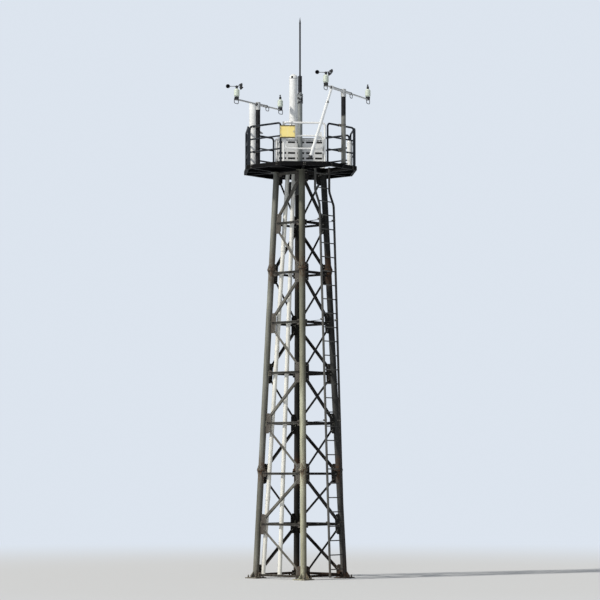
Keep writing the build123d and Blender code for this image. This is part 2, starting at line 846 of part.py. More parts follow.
def make_cup_rotor(point, heading):
    """Three hollow cones on thin arms round a hub, one arm along the heading."""
    low = hub_low(point)
    cap = sensor_base(point) + sensor_height + sensor_cap_height + shaft_length + running_gap
    middle = (cap + low + hub_height) / 2
    centre = cup_depth - cup_tip_radius
    lean = acos(cup_tip_radius / sqrt(cup_radius ** 2 + centre ** 2)) - atan2(centre, cup_radius)
    inner_mouth = cup_radius - cup_wall / cos(lean)
    outer = nose_cone(cup_radius, cup_tip_radius, centre, lean, 0)
    inner = nose_cone(inner_mouth, cup_tip_radius - cup_wall, centre, lean, cup_wall)
    reach = cup_orbit - cup_radius + cup_arm_seat * tan(lean) + cup_arm_radius
    pieces = [make_hub(point)]
    hollows = []
    for k in range(cup_count):
        turn = Pos(point.X, point.Y, middle) * Rot(0, 0, heading + 360 / cup_count * k)
        seat = turn * Pos(cup_orbit, cup_arm_seat, 0) * Rot(180, 0, 0)
        pieces.append(turn * rod((hub_radius / 2, 0, 0), (reach, 0, 0), cup_arm_radius))
        pieces.append(seat * outer)
        hollows.append(seat * inner)
    whole = joined(pieces)
    for hollow in hollows:
        whole -= hollow
    whole -= upright(point.X, point.Y, low, cap, shaft_radius + running_gap)
    return whole


def make_vane(point, heading):
    """A balanced arrow: nose weight, rod and upright tail fin, the tail along the heading."""
    low = hub_low(point)
    cap = sensor_base(point) + sensor_height + sensor_cap_height + shaft_length + running_gap
    middle = (cap + low + hub_height) / 2
    turn = Pos(point.X, point.Y, middle) * Rot(0, 0, heading)
    nose = Plane(origin=(-vane_nose_reach, 0, 0), z_dir=(-1, 0, 0)) * Solid.make_cone(
        vane_nose_radius, vane_rod_radius / 2, vane_nose_length)
    start = vane_tail_reach - vane_fin_length
    outline = [(start, 0), (start + vane_fin_height / 3, vane_fin_height / 2),
               (vane_tail_reach, vane_fin_height * 0.6), (vane_tail_reach, -vane_fin_height * 0.4),
               (start + vane_fin_height / 3, -vane_fin_height / 3)]
    plane = Plane(origin=(0, vane_fin_thick / 2, 0), x_dir=(1, 0, 0), z_dir=(0, -1, 0))
    fin = prism(plane, outline, vane_fin_thick)
    spar = rod((-vane_nose_reach, 0, 0), (vane_tail_reach - vane_fin_length / 2, 0, 0), vane_rod_radius)
    spar -= upright(0, 0, -hub_height, cap - middle, shaft_radius + running_gap)
    return joined([make_hub(point), turn * joined([spar, nose, fin])])


def make_stay():
    """A two-part pole from a clamp on the front panel's low rail to a collar round the right crossarm."""
    foot_back = rail_apothem + low_rail_radius + stay_radius
    foot = Vector(stay_foot_along, -foot_back, deck_top + stay_foot_rise).rotate(Axis.Z, 45)
    head = arm_point(right_arm, -stay_reach)
    run = (head - foot).normalized()
    step = foot + (head - foot) * (1 - stay_thin_share)
    sleeve = right_arm * rod((-right_arm_cup_reach, 0, 0), (0, 0, 0), arm_sleeve_radius)
    tip = rod(step, head - run * arm_sleeve_radius, stay_thin_radius)
    near, far = -stay_reach + stay_collar_half_length, -stay_reach - stay_collar_half_length
    collar = right_arm * rod((far, 0, 0), (near, 0, 0), arm_sleeve_radius + stay_collar_wall)
    shoe = rod(foot, foot + run * stay_foot_height, stay_foot_radius)
    pole = rod(foot, step, stay_radius)
    rail_z = deck_top + rail_step
    crossing = (foot + (head - foot) * ((rail_z - foot.Z) / (head.Z - foot.Z))).rotate(Axis.Z, -45)
    half_grip = stay_clamp_half_height
    clamp = block((crossing.X - stay_clamp_half_width, crossing.Y, rail_z - half_grip),
                  (crossing.X + stay_clamp_half_width, -rail_apothem + half_grip, rail_z + half_grip))
    clamp -= rod((crossing.X - stay_clamp_half_width, -rail_apothem, rail_z),
                 (crossing.X + stay_clamp_half_width, -rail_apothem, rail_z), low_rail_radius)
    return joined([pole, shoe, tip, collar, Rot(0, 0, 45) * clamp]) - sleeve


# Boxes on the guardrail

def make_display_box():
    """The box on the front panel, between its top and middle rails."""
    front = -rail_apothem - rail_radius - display_depth
    back = front + display_depth
    left, right = display_along - display_width / 2, display_along + display_width / 2
    low = deck_top + display_rise
    high = low + display_height
    body = block((left, front, low + display_strip), (right, back, high - display_strip))
    strips = [block((left - display_strip, front - display_strip / 2, z), (right, back, z + display_strip))
              for z in (low, high - display_strip)]
    return Rot(0, 0, 45) * joined([body, *strips])


def make_terminal_box():
    """A small box inside the front panel, near its right end."""
    along = rail_apothem * tan(pi / 8) - rail_end_inset - terminal_width
    near = -rail_apothem + low_rail_radius
    low = deck_top + 2 * rail_step - terminal_height / 2
    box = block((along - terminal_width / 2, near, low),
                (along + terminal_width / 2, near + terminal_depth, low + terminal_height))
    return Rot(0, 0, 45) * box


def make_solar_panel():
    """A small tilted panel on a bracket over the -X panel's top rail."""
    top = deck_top + rail_height + rail_radius
    plate = Box(solar_length, solar_width, solar_thick, align=(Align.CENTER, Align.CENTER, Align.MIN))
    plate = Rot(0, solar_tilt, 0) * plate
    post = upright(0, 0, -solar_post_height, 0, rail_radius / 2)
    half = solar_grip_width / 2
    grip = block((-rail_radius, -half, -solar_post_height),
                 (rail_radius, half, -solar_post_height + solar_grip_thick))
    place = Pos(-rail_apothem, solar_along, top + solar_post_height)
    return place * joined([plate, post, grip])


def main():
    os.makedirs("parts", exist_ok=True)

    leg = make_leg()
    for turn, name in enumerate(("front_leg", "right_leg", "back_leg", "left_leg")):
        save(spin(leg, 90 * turn), name)

    save(make_lattice(1), "front_right_lattice")
    save(spin(make_lattice(1), 90), "back_right_lattice")
    save(spin(make_lattice(-1), 180), "back_left_lattice")
    save(spin(make_lattice(-1), 270), "front_left_lattice")

    save(make_ladder(), "ladder")
    save(Compound(children=make_ladder_brackets()), "ladder_brackets")
    save(make_conduit(left_conduit_foot, left_conduit_head), "left_conduit")
    save(make_conduit(right_conduit_foot, right_conduit_head), "right_conduit")
    save(make_junction_box(), "junction_box")

    save(make_rim(), "platform_rim")
    save(make_main_beam(-1), "front_main_beam")
    save(make_main_beam(1), "back_main_beam")
    save(Compound(children=make_cross_beams(1)), "right_cross_beam")
    save(Compound(children=make_cross_beams(-1)), "left_cross_beam")
    save(Compound(children=make_outriggers()), "outriggers")
    save(Compound(children=make_deck()), "deck_plates")

    panel = make_guard_panel(False)
    rails = ("right_guardrail", "right_back_guardrail", "back_guardrail", "left_back_guardrail",
             "left_guardrail", "left_front_guardrail", "near_left_guardrail")
    for turn, name in enumerate(rails):
        save(spin(panel, 45 * turn), name)
    save(spin(make_guard_panel(True), -45), "front_guardrail")

    save(make_cabinet(), "equipment_cabinet")
    save(make_rod_pipe(), "rod_pipe")
    save(make_lightning_rod(), "lightning_rod")
    save(make_centre_column(), "tall_column")
    left = column(left_column_x, left_column_y, left_column_radius, left_column_top, False)
    save(left, "left_column")
    short = column(short_column_x, short_column_y, short_column_radius, short_column_top, True)
    save(short, "short_column")
    save(make_mast(left_mast_x, left_mast_y, left_mast_radius, left_mast_top), "left_mast")
    save(make_mast(right_mast_x, right_mast_y, right_mast_radius, right_mast_top), "right_mast")
    save(make_mast_shelf(), "right_mast_shelf")

    save(make_crossarm(left_arm, left_mast_radius, (left_arm_cup_reach, left_arm_vane_reach),
                       (left_sleeve_cup_reach, left_sleeve_vane_reach)), "left_crossarm")
    save(make_crossarm(right_arm, right_mast_radius, (right_arm_cup_reach, right_arm_vane_reach),
                       (right_sleeve_cup_reach, right_sleeve_vane_reach)), "right_crossarm")
    save(Compound(children=[sensor_lead(left_arm, -left_arm_cup_reach),
                            sensor_lead(left_arm, left_arm_vane_reach),
                            sleeve_lead(left_arm, left_sleeve_vane_reach)]), "left_sensor_leads")
    save(Compound(children=[sensor_lead(right_arm, -right_arm_cup_reach),
                            sensor_lead(right_arm, right_arm_vane_reach),
                            sleeve_lead(right_arm, right_sleeve_vane_reach)]), "right_sensor_leads")
    left_cup = arm_point(left_arm, -left_arm_cup_reach)
    left_tail = arm_point(left_arm, left_arm_vane_reach)
    right_cup = arm_point(right_arm, -right_arm_cup_reach)
    right_tail = arm_point(right_arm, right_arm_vane_reach)
    save(make_sensor(left_cup), "left_cup_sensor")
    save(make_sensor(left_tail), "left_vane_sensor")
    save(make_sensor(right_cup), "right_cup_sensor")
    save(make_sensor(right_tail), "right_vane_sensor")
    save(make_cup_rotor(left_cup, left_cup_heading), "left_cup_rotor")
    save(make_cup_rotor(right_cup, right_cup_heading), "right_cup_rotor")
    save(make_vane(left_tail, left_vane_heading), "left_vane")
    save(make_vane(right_tail, right_vane_heading), "right_vane")
    for name, point in (("left cup", left_cup), ("left vane", left_tail),
                        ("right cup", right_cup), ("right vane", right_tail)):
        print(name, round(point.X, 1), round(point.Y, 1), round(hub_low(point), 1))

    save(make_stay(), "mast_stay")
    save(make_display_box(), "yellow_box")
    save(make_terminal_box(), "terminal_box")
    save(make_solar_panel(), "solar_panel")


main()
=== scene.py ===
"""Looks of the wind measurement tower: finishes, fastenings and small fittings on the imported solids.

Metres, +Z up, in the frame of the solids.  The front leg stands at (+X, -Y).
"""
from itertools import product
from math import atan, cos, pi, radians, sin, tan
from types import SimpleNamespace

import bmesh
import bpy
from mathutils import Matrix, Vector


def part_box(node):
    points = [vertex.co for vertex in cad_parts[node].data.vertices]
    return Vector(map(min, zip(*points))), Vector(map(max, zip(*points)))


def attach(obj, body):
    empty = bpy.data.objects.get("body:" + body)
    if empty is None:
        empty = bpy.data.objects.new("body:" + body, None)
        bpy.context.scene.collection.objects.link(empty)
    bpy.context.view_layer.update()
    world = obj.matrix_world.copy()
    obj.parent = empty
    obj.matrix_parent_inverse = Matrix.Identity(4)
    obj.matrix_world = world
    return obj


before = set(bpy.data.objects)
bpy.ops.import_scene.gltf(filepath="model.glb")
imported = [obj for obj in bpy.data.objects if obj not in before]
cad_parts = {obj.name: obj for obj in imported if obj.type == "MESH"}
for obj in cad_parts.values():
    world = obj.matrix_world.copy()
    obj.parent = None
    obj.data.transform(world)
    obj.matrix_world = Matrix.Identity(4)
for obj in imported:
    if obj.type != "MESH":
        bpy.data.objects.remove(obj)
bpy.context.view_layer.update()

both = (-1, 1)
quarters = (0, 90, 180, 270)
eighths = range(0, 360, 45)

# Sizes of the tower that the fittings are set from
leg_foot = 0.667
leg_lean = 0.0357
leg_radius = 0.0665
leg_top = 8.67
base_plate_thick = 0.02
anchor_offset = 0.11
anchor_nut_rise = 0.021
cap_bolt_offset = 0.078
row_low = 0.07
row_high = 8.63
bay_count = 8
splice_rows = (2, 6)
splice_rise = 0.08
splice_radius = 0.093
splice_bolt_turns = [22.5 + 45 * k for k in range(8)]
flange_thick = 0.016
gasket_thick = 0.003
gusset_half = 0.004
gusset_reach = 0.16
gusset_seam_half = 0.058
end_seam_half = 0.03
angle_thick = 0.005
bar_bolts = (0.103, 0.134)
bar_bolt_drop = 0.004
diagonal_bolts = (0.194, 0.232)

deck_apothem = 1.18
beam_width = 0.05
rim_bolt_spread = (0.016, 0.02)
deck_screws = (-0.36, -0.12, 0.12, 0.36)
deck_screw_inset = 0.016
rail_apothem = 1.14
rail_radius = 0.021
rail_inset = 0.035
rail_height = 0.82
rail_step = 0.272
rail_foot_radius = 0.03
rail_foot_thick = 0.008
rail_weld_inset = 0.018
low_rail_radius = 0.017

ladder_standoff = 0.33
ladder_centre = 0.04
ladder_half_width = 0.235
ladder_rail_radius = 0.025
ladder_rung_radius = 0.012
ladder_rung_step = 0.3
ladder_bottom = 0.06
ladder_bend_low = 7.93
ladder_bend_high = 8.24
ladder_top_x = 0.59
ladder_bracket_rows = (1, 3, 5, 7)
ladder_bracket_seat = 0.033
saddle_drop = 0.008

conduit_radius = 0.045
conduit_depth = 0.112
conduit_bottom = 0.04
conduit_top = 8.66
conduit_clamp_thick = 0.006
conduit_ear_reach = 0.012
conduit_ends = ((-0.56, -0.135), (-0.095, 0.035))
coupling_heights = (1.70, 4.88, 7.02)
junction_height = 0.27

cabinet_right = 0.02
cabinet_back = 0.27
cabinet_width = 1.06
cabinet_depth = 0.38
cabinet_height = 0.665
cabinet_lid_thick = 0.022
door_half_width = 0.5
door_low = 0.062
door_high = 0.626
hinge_rows = (0.12, 0.34, 0.56)
handle_rows = (0.29, 0.46)
lifting_eyes = (0.48, 0.15)
lid_screw_pitch = 0.19
vent_width = 0.155
vent_height = 0.042
vent_depth = 0.018
vent_count = 5
vent_pitch = 0.195
vent_rows = (0.236, 0.351, 0.585)
louvre_slant = 38
louvre_lifts = (-0.012, 0.0, 0.012)

display_width = 0.31
display_height = 0.27
display_depth = 0.06
display_along = -0.355
display_rise = 0.484
display_strip = 0.014
display_bracket = 0.09
terminal_width = 0.12
terminal_height = 0.17
terminal_depth = 0.07
solar_along = -0.19
solar_width = 0.30
solar_length = 0.24
solar_thick = 0.022
solar_tilt = 35.0
solar_post_height = 0.08
cell_rows = 4
cell_columns = 6
cell_pitch = (0.053, 0.0445)
cell_length = 0.0505

# Each mast: its crossarm's heading and, to the cup side and the vane side, the reach of the arm's
# thick sleeve and of its sockets; rail_turn is the side of the guardrail that it is clamped to
left_mast = SimpleNamespace(
    place=(-0.295, -1.035), radius=0.048, bolt_circle=0.0572, plate=0.01, bolts=6,
    top=10.03, heading=97.0, sleeve=(0.07, 0.33), reach=(0.79, 0.85), rail_turn=270)
right_mast = SimpleNamespace(
    place=(1.24, -0.03), radius=0.049, bolt_circle=0.0582, plate=0.01, bolts=6,
    top=10.274, heading=102.7, sleeve=(0.585, 0.345), reach=(0.817, 1.18), rail_turn=0)
right_mast_bare = 9.78
left_mast_bare = 8.0
masts = (left_mast, right_mast)
mast_bolt_lift = 0.014
rail_bolt_spread = 0.045
foot_bolt_turn = 20
tee_height = 0.08
arm_radius = 0.017
sleeve_radius = 0.029
socket_radius = 0.034
lead_rise = 0.02
lead_return = 0.062
sleeve_lead_out = 0.078
sleeve_lead_in = 0.034
sleeve_screws = (0.05, 0.085)
tee_screws = (-0.068, -0.10)

sensors = ("left_cup_sensor", "left_vane_sensor", "right_cup_sensor", "right_vane_sensor")
cup_headings = {"left": 220.5, "right": 226.0}
vane_headings = {"left": 130.5, "right": 128.0}
sensor_band_rows = (0.040, 0.092, 0.146)
sensor_screw_rows = (0.058, 0.128)
hub_rise = 0.19
hub_radius = 0.025
hub_height = 0.046
cup_level = 0.0432
cup_orbit = 0.185
cup_seat = 0.015
cup_radius = 0.043
vane_nose = 0.21
vane_tail = 0.33
vane_fin_length = 0.19
vane_fin_height = 0.15
fin_rivets = (0.02, 0.05, 0.08)

tall_column = SimpleNamespace(
    place=(-0.505, 0.372), radius=0.092, bolt_circle=0.101, plate=0.012, bolts=8,
    top=10.94, bands=(10.79, 9.98, 9.32))
left_column = SimpleNamespace(
    place=(-0.764, -0.652), radius=0.092, bolt_circle=0.101, plate=0.012, bolts=8,
    top=10.18, bands=(9.74, 9.18))
short_column = SimpleNamespace(
    place=(0.998, 0.474), radius=0.058, bolt_circle=0.067, plate=0.012, bolts=6, bands=(9.27, 8.92))
columns = (tall_column, left_column, short_column)
notch_drop = 0.076
notch_depth = 0.022
notch_turn = 20
notch_lifts = (-0.014, 0.0, 0.014)
rod_pipe = SimpleNamespace(place=(0, 0), radius=0.052, bolt_circle=0.0735, plate=0.01, bolts=6, top=10.38)
rod_clamp_radius = 0.062
rod_clamp_height = 0.19
rod_clamp_cover = 0.016
rod_bolt_turn = 15
rod_bolt_inset = 0.055
rod_sleeve_radius = 0.043
rod_sleeve_top = 10.785
rod_radius = 0.018
rod_tip_height = 0.12
rod_top = 12.08

stay_radius = 0.033
stay_foot_along = 0.117
stay_foot_rise = 0.06
stay_thin_radius = 0.027
stay_thin_share = 0.2
stay_reach = 0.545
stay_grip_half = 0.04
stay_bolt_spread = 0.018

slope = atan(leg_lean)
beam_offset = leg_foot - leg_lean * leg_top
rail_half = rail_apothem * tan(pi / 8) - rail_inset
deck_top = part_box("deck_plates")[1].z
rim_low, rim_high = (corner.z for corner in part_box("platform_rim"))


# Placements

def turned(degrees, axis="Z"):
    """A turn about an axis of the frame."""
    return Matrix.Rotation(radians(degrees), 4, axis)


def at(x, y, z):
    """A shift."""
    return Matrix.Translation((x, y, z))


def around(degrees, x, y, z=0.0):
    """A point, turned about the tower's axis."""
    return turned(degrees) @ Vector((x, y, z))


def facing(point, direction):
    """A placement at a point with its Z axis along a direction."""
    return Matrix.Translation(point) @ Vector(direction).to_track_quat("Z", "Y").to_matrix().to_4x4()


def axes(x, y, z):
    """A turn that takes the frame's axes to three directions."""
    return Matrix((x, y, z)).transposed().to_4x4()


def sideways(arm, way):
    """The direction to one side of a crossarm or of a vane's arm."""
    return arm.to_3x3() @ Vector((0, way, 0))


# Mesh forms

def outline(radius, *steps, unit=0.001):
    """A profile to turn, from steps out from a radius and up, in millimetres or another unit."""
    return [(radius + out * unit, up * unit) for out, up in steps]


def lathe(bm, place, profile, sides):
    """A turned form, its profile given as (radius, height) from bottom to top."""
    rings = []
    for radius, height in profile:
        turns = [2 * pi * k / sides for k in range(sides if radius else 1)]
        spots = [Vector((radius * cos(a), radius * sin(a), height)) for a in turns]
        rings.append([bm.verts.new(place @ spot) for spot in spots])
    for low, high in zip(rings, rings[1:]):
        for k in range(sides):
            corners = []
            for ring, step in ((low, k), (low, k + 1), (high, k + 1), (high, k)):
                vertex = ring[step % len(ring)]
                if vertex not in corners:
                    corners.append(vertex)
            bm.faces.new(corners)


def bead(bm, place, radius, thick, sides, facets=5):
    """A round bead in a circle, such as a weld or a rolled edge."""
    rings = []
    for k in range(sides):
        out = Vector((cos(2 * pi * k / sides), sin(2 * pi * k / sides), 0))
        turns = [2 * pi * j / facets for j in range(facets)]
        spots = [out * (radius + thick * cos(a)) + Vector((0, 0, thick * sin(a))) for a in turns]
        rings.append([bm.verts.new(place @ spot) for spot in spots])
    for ring, ahead in zip(rings, rings[1:] + rings[:1]):
        for j in range(facets):
            bm.faces.new((ring[j], ahead[j], ahead[(j + 1) % facets], ring[(j + 1) % facets]))


def tube(bm, points, radius, sides=6):
    """A round bar along a path, closed at its ends."""
    rings = []
    side = None
    for k, point in enumerate(points):
        ahead = (points[min(k + 1, len(points) - 1)] - points[max(k - 1, 0)]).normalized()
        if side is None:
            side = ahead.orthogonal().normalized()
        side = (side - ahead * side.dot(ahead)).normalized()
        other = ahead.cross(side)
        turns = [2 * pi * j / sides for j in range(sides)]
        rings.append([bm.verts.new(point + (side * cos(a) + other * sin(a)) * radius) for a in turns])
    for low, high in zip(rings, rings[1:]):
        for j in range(sides):
            bm.faces.new((low[j], low[(j + 1) % sides], high[(j + 1) % sides], high[j]))
    bm.faces.new(list(reversed(rings[0])))
    bm.faces.new(rings[-1])


def new_mesh(name, bm):
    """A mesh made of the forms."""
    mesh = bpy.data.meshes.new(name)
    bm.to_mesh(mesh)
    bm.free()
    return mesh


def slab(bm, place, size, edge, segments=1):
    """A block with eased edges, centred on its placement."""
    part = bmesh.new()
    bmesh.ops.create_cube(part, size=1)
    bmesh.ops.scale(part, vec=size, verts=part.verts)
    ease = min(edge, min(size) / 3)
    bmesh.ops.bevel(part, geom=part.edges[:], offset=ease, segments=segments, affect="EDGES")
    bmesh.ops.transform(part, matrix=place, verts=part.verts)
    loose = new_mesh("loose", part)
    bm.from_mesh(loose)
    bpy.data.meshes.remove(loose)


def bolt(bm, place, size, tip=True):
    """A washer, a chamfered hexagon and the thread's end, standing on a face along Z."""
    lathe(bm, place, outline(0, (0, 0), (1.15, 0), (1.15, 0.16), (0.76, 0.16), unit=size), 12)
    lathe(bm, place, outline(0, (0.95, 0.16), (0.95, 0.8825), (0.817, 1.01), (0, 1.01), unit=size), 6)
    if tip:
        lathe(bm, place, outline(0, (0.5, 0.925), (0.5, 1.35), (0.38, 1.4775), (0, 1.4775), unit=size), 8)


def screw(bm, spot, direction, radius):
    """A low screw head with a recess, standing on a face."""
    head = outline(0, (1, 0), (0.87, 0.4), (0.4, 0.42), (0, 0.2), unit=radius)
    lathe(bm, facing(spot, direction), head, 10)


def u_bolt(bm, centre, away, side, radius, leg):
    """A U-bolt: a half turn round a centre on the away side, with two legs back."""
    away, side = Vector(away).normalized(), Vector(side).normalized()
    turns = [pi * k / 12 - pi / 2 for k in range(13)]
    bend = [centre + side * sin(a) * radius + away * cos(a) * radius for a in turns]
    ends = [centre + side * way * radius - away * leg for way in both]
    tube(bm, [ends[0], *bend, ends[1]], 0.004, 8)


def new_object(name, data):
    """An object in the scene."""
    thing = bpy.data.objects.new(name, data)
    bpy.context.scene.collection.objects.link(thing)
    return thing


def piece(name, bm, finish, body="tower", crease=35.0):
    """A finished mesh that rides on a body."""
    bmesh.ops.recalc_face_normals(bm, faces=bm.faces)
    mesh = new_mesh(name, bm)
    mesh.shade_smooth()
    mesh.set_sharp_from_angle(angle=radians(crease))
    mesh.materials.append(finish)
    thing = new_object(name, mesh)
    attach(thing, body)


# Places on the lattice: u along a face, v up its slope, w outwards; a face is given by its turn from +X

def on_face(turn, u, v, w):
    """A point of a lattice face."""
    return around(turn, leg_foot - v * sin(slope) + w * cos(slope), u, v * cos(slope) + w * sin(slope))


def outwards(turn):
    """The outward direction of a lattice face."""
    return around(turn, cos(slope), 0, sin(slope))


def face_frame(turn, u, v, w):
    """A placement on a lattice face: local X along it, local Y up its slope, local Z outwards."""
    along, out = around(turn, 0, 1), outwards(turn)
    return Matrix.Translation(on_face(turn, u, v, w)) @ axes(along, out.cross(along), out)


def row_height(k):
    """Height of a row of horizontals."""
    return row_low + (row_high - row_low) * k / bay_count


def row_climb(k):
    """Distance of a row up a face's slope."""
    return row_height(k) / cos(slope)


def half_span(v):
    """Half the distance between the leg axes of a face."""
    return leg_foot - v * sin(slope)


def leg_point(turn, z):
    """A point on a leg's axis, the legs given by their turn from the front leg."""
    out = leg_foot - leg_lean * z
    return around(turn, out, -out, z)


# Finishes

def feed(socket, value):
    """Give a socket a link or a plain value."""
    if isinstance(value, bpy.types.NodeSocket):
        socket.id_data.links.new(value, socket)
    elif isinstance(value, tuple) and len(value) == 3 and socket.type == "RGBA":
        socket.default_value = (*value, 1)
    else:
        socket.default_value = value


def add_node(tree, kind, inputs, **settings):
    """A new shader node with its settings, its sockets given links or plain values."""
    node = tree.nodes.new("ShaderNode" + kind)
    for key, value in settings.items():
        setattr(node, key, value)
    for key, value in inputs.items():
        feed(node.inputs[key], value)
    return node


def shade(colour, share):
    """A colour times a share."""
    return tuple(c * share for c in colour)


class Finish:
    """A procedural finish, drawn in the object's own metres."""

    def __init__(self, name, roughness, metallic=0.0, shine=0.5):
        self.material = bpy.data.materials.new(name)
        self.material.use_nodes = True
        self.tree = self.material.node_tree
        self.shader = self.tree.nodes["Principled BSDF"]
        for key, value in (("Metallic", metallic), ("Roughness", roughness), ("Specular IOR Level", shine)):
            feed(self.shader.inputs[key], value)
        self.place = self.node("TexCoord", {}).outputs["Object"]
        self.x, self.y, self.z = self.node("SeparateXYZ", {0: self.place}).outputs

    def node(self, kind, inputs, **settings):
        """A new node of the finish."""
        return add_node(self.tree, kind, inputs, **settings)

    def noise(self, scale, up=1.0, detail=4.0, rough=0.55):
        """Cloudy noise with so many spots to a metre, drawn out along the height."""
        mapped = self.node("Mapping", {"Vector": self.place, "Scale": (1, 1, up)}).outputs[0]
        inputs = {"Vector": mapped, "Scale": scale, "Detail": detail, "Roughness": rough}
        return self.node("TexNoise", inputs).outputs[0]

    def clouds(self, low, high, scale, up=1.0, detail=4.0, rough=0.55):
        """Noise that is nothing below one level and full above another."""
        return self.between(self.noise(scale, up, detail, rough), low, high)

    def cells(self, scale):
        """Crystal-like cells, each with its own random grey."""
        node = self.node("TexVoronoi", {"Vector": self.place, "Scale": scale})
        return self.node("SeparateColor", {0: node.outputs["Color"]}).outputs[0]

    def between(self, value, low, high, start=0.0, end=1.0):
        """A value taken from low..high to start..end, and held there."""
        inputs = {"Value": value, "From Min": low, "From Max": high, "To Min": start, "To Max": end}
        return self.node("MapRange", inputs).outputs[0]

    def maths(self, operation, a, b=0.0):
        """A plain sum, product or the like of two values."""
        return self.node("Math", {0: a, 1: b}, operation=operation).outputs[0]

    def times(self, a, b):
        """The product of two values."""
        return self.maths("MULTIPLY", a, b)

    def plus(self, a, b):
        """The sum of two values."""
        return self.maths("ADD", a, b)

    def near(self, height, reach):
        """One at a height, falling to nothing at the reach above and below it."""
        gap = self.maths("ABSOLUTE", self.maths("SUBTRACT", self.z, height))
        return self.between(gap, 0.0, reach, 1.0, 0.0)

    def mix(self, share, a, b, blend="MIX"):
        """A colour between two colours."""
        return self.node("Mix", {0: share, 6: a, 7: b}, data_type="RGBA", blend_type=blend).outputs[2]

    def stain(self, colour, mask, share, tone):
        """A colour with some share of a tone where a mask is."""
        return self.mix(self.times(mask, share), colour, tone)

    def bump(self, height, strength, distance):
        """Relief from a value."""
        node = self.node("Bump", {"Strength": strength, "Distance": distance, "Height": height})
        feed(self.shader.inputs["Normal"], node.outputs[0])

    def done(self, colour, roughness=None):
        """Set the colour and the roughness, and give the material."""
        feed(self.shader.inputs["Base Color"], colour)
        if roughness is not None:
            feed(self.shader.inputs["Roughness"], roughness)
        return self.material


# Painted light and shade on the legs: the direction that a leg's painted lit side faces, and the colour
# gains of its painted shaded side and its painted lit side.
painted_light_direction = (-0.76, -0.65)
painted_shade_gain = (0.42, 0.40, 0.38)
painted_light_gain = (1.25, 1.25, 1.2)
# Heights over which the painted shade high up on the legs gives way to the gain near their feet.
shade_fade_low = 3.2
shade_fade_high = 6.2
gusset_tone = (0.072, 0.062, 0.053)
rust_dark = (0.045, 0.022, 0.012)
rust_warm = (0.115, 0.055, 0.024)


def leg_distance(finish):
    """How far the legs' axes stand from the tower's middle planes, at each height."""
    return finish.maths("SUBTRACT", leg_foot, finish.times(finish.z, leg_lean))


def leg_painted_side_light(finish, colour, corner):
    """Painted light on the side of a leg that faces the given direction, and painted shade on its other
    side.
    """
    axis = leg_distance(finish)
    parts = []
    for place, side, share in zip((finish.x, finish.y), corner, painted_light_direction):
        parts.append(finish.times(finish.maths("SUBTRACT", place, finish.times(axis, side)), share))
    turn = finish.between(finish.plus(*parts), -0.8 * leg_radius, 0.9 * leg_radius)
    return finish.mix(1.0, colour, finish.mix(turn, painted_shade_gain, painted_light_gain), "MULTIPLY")


def painted_height_shade(finish, colour, painted_shade_gains):
    """Painted shade by height: the steel's colour times one gain high up, under the platform, and another
    near its foot.
    """
    high, low = ((tone,) * 3 for tone in painted_shade_gains)
    gain = finish.mix(finish.between(finish.z, shade_fade_high, shade_fade_low), high, low)
    return finish.mix(1.0, colour, gain, "MULTIPLY")


def joint_grime(finish, colour):
    """Duller, browner gusset plates and bar ends beside the legs."""
    inside = finish.maths("MINIMUM", *(finish.maths("ABSOLUTE", place) for place in (finish.x, finish.y)))
    depth = finish.maths("SUBTRACT", leg_distance(finish), inside)
    ragged = finish.plus(depth, finish.between(finish.noise(16, detail=5), 0.3, 0.7, -0.03, 0.03))
    beside = finish.between(ragged, gusset_reach, gusset_reach + 0.06, 0.85, 0.0)
    return finish.mix(beside, colour, gusset_tone)


def steel_finish(name, light, dark, rust, corner=None, shine=0.25, joints=False, far_rail_painted_shade=None,
                 painted_shade_gains=None):
    """Weathered galvanised steel: dull crystals, rain streaks, grime and rust, with painted light and shade
    on a leg's sides, painted shade high up, and painted shade on the ladder's far rail where asked.
    """
    finish = Finish(name, 0.6, shine, shine * 2)
    colour = finish.mix(finish.clouds(0.35, 0.68, 2.2, 0.35, 5), light, dark)
    # Painted light on one side of a leg, painted shade on its other side.
    if corner:
        colour = leg_painted_side_light(finish, colour, corner)
    # Painted shade high up on the leg, lighter lower down.
    if painted_shade_gains:
        colour = painted_height_shade(finish, colour, painted_shade_gains)
    # The ladder's far rail, on the +Y side, is blended to a darker colour: painted shade.
    if far_rail_painted_shade:
        across = finish.between(finish.y, ladder_centre - 0.1, ladder_centre + 0.2)
        colour = finish.mix(across, colour, far_rail_painted_shade)
    if joints:
        colour = joint_grime(finish, colour)
    colour = finish.stain(colour, finish.clouds(0.48, 0.72, 38, 0.03, 3), 0.55, shade(dark, 0.45))
    crystals = finish.between(finish.cells(70), 0.0, 1.0, 0.82, 1.12)
    colour = finish.mix(1.0, colour, finish.mix(crystals, (0, 0, 0), (1, 1, 1)), "MULTIPLY")
    speckle = finish.noise(24, 0.6, 6, 0.7)
    amount = finish.times(finish.between(speckle, 0.62 - 0.12 * rust, 0.74 - 0.12 * rust), rust)
    if corner:
        for row in splice_rows:
            drip = finish.times(finish.near(row_height(row) + splice_rise, 0.42),
                                finish.between(speckle, 0.36, 0.58))
            amount = finish.maths("MAXIMUM", amount, drip)
    foot = finish.between(finish.z, 0.0, 0.5, 1.0, 0.0)
    amount = finish.maths("MAXIMUM", amount, finish.times(foot, finish.between(speckle, 0.44, 0.66)))
    rusty = finish.mix(finish.clouds(0.35, 0.65, 60, detail=3), rust_dark, rust_warm)
    colour = finish.mix(amount, colour, rusty)
    finish.bump(finish.plus(finish.noise(90, detail=5), amount), 0.35, 0.004)
    return finish.done(colour, finish.between(finish.plus(speckle, amount), 0.3, 1.3, 0.5, 0.9))


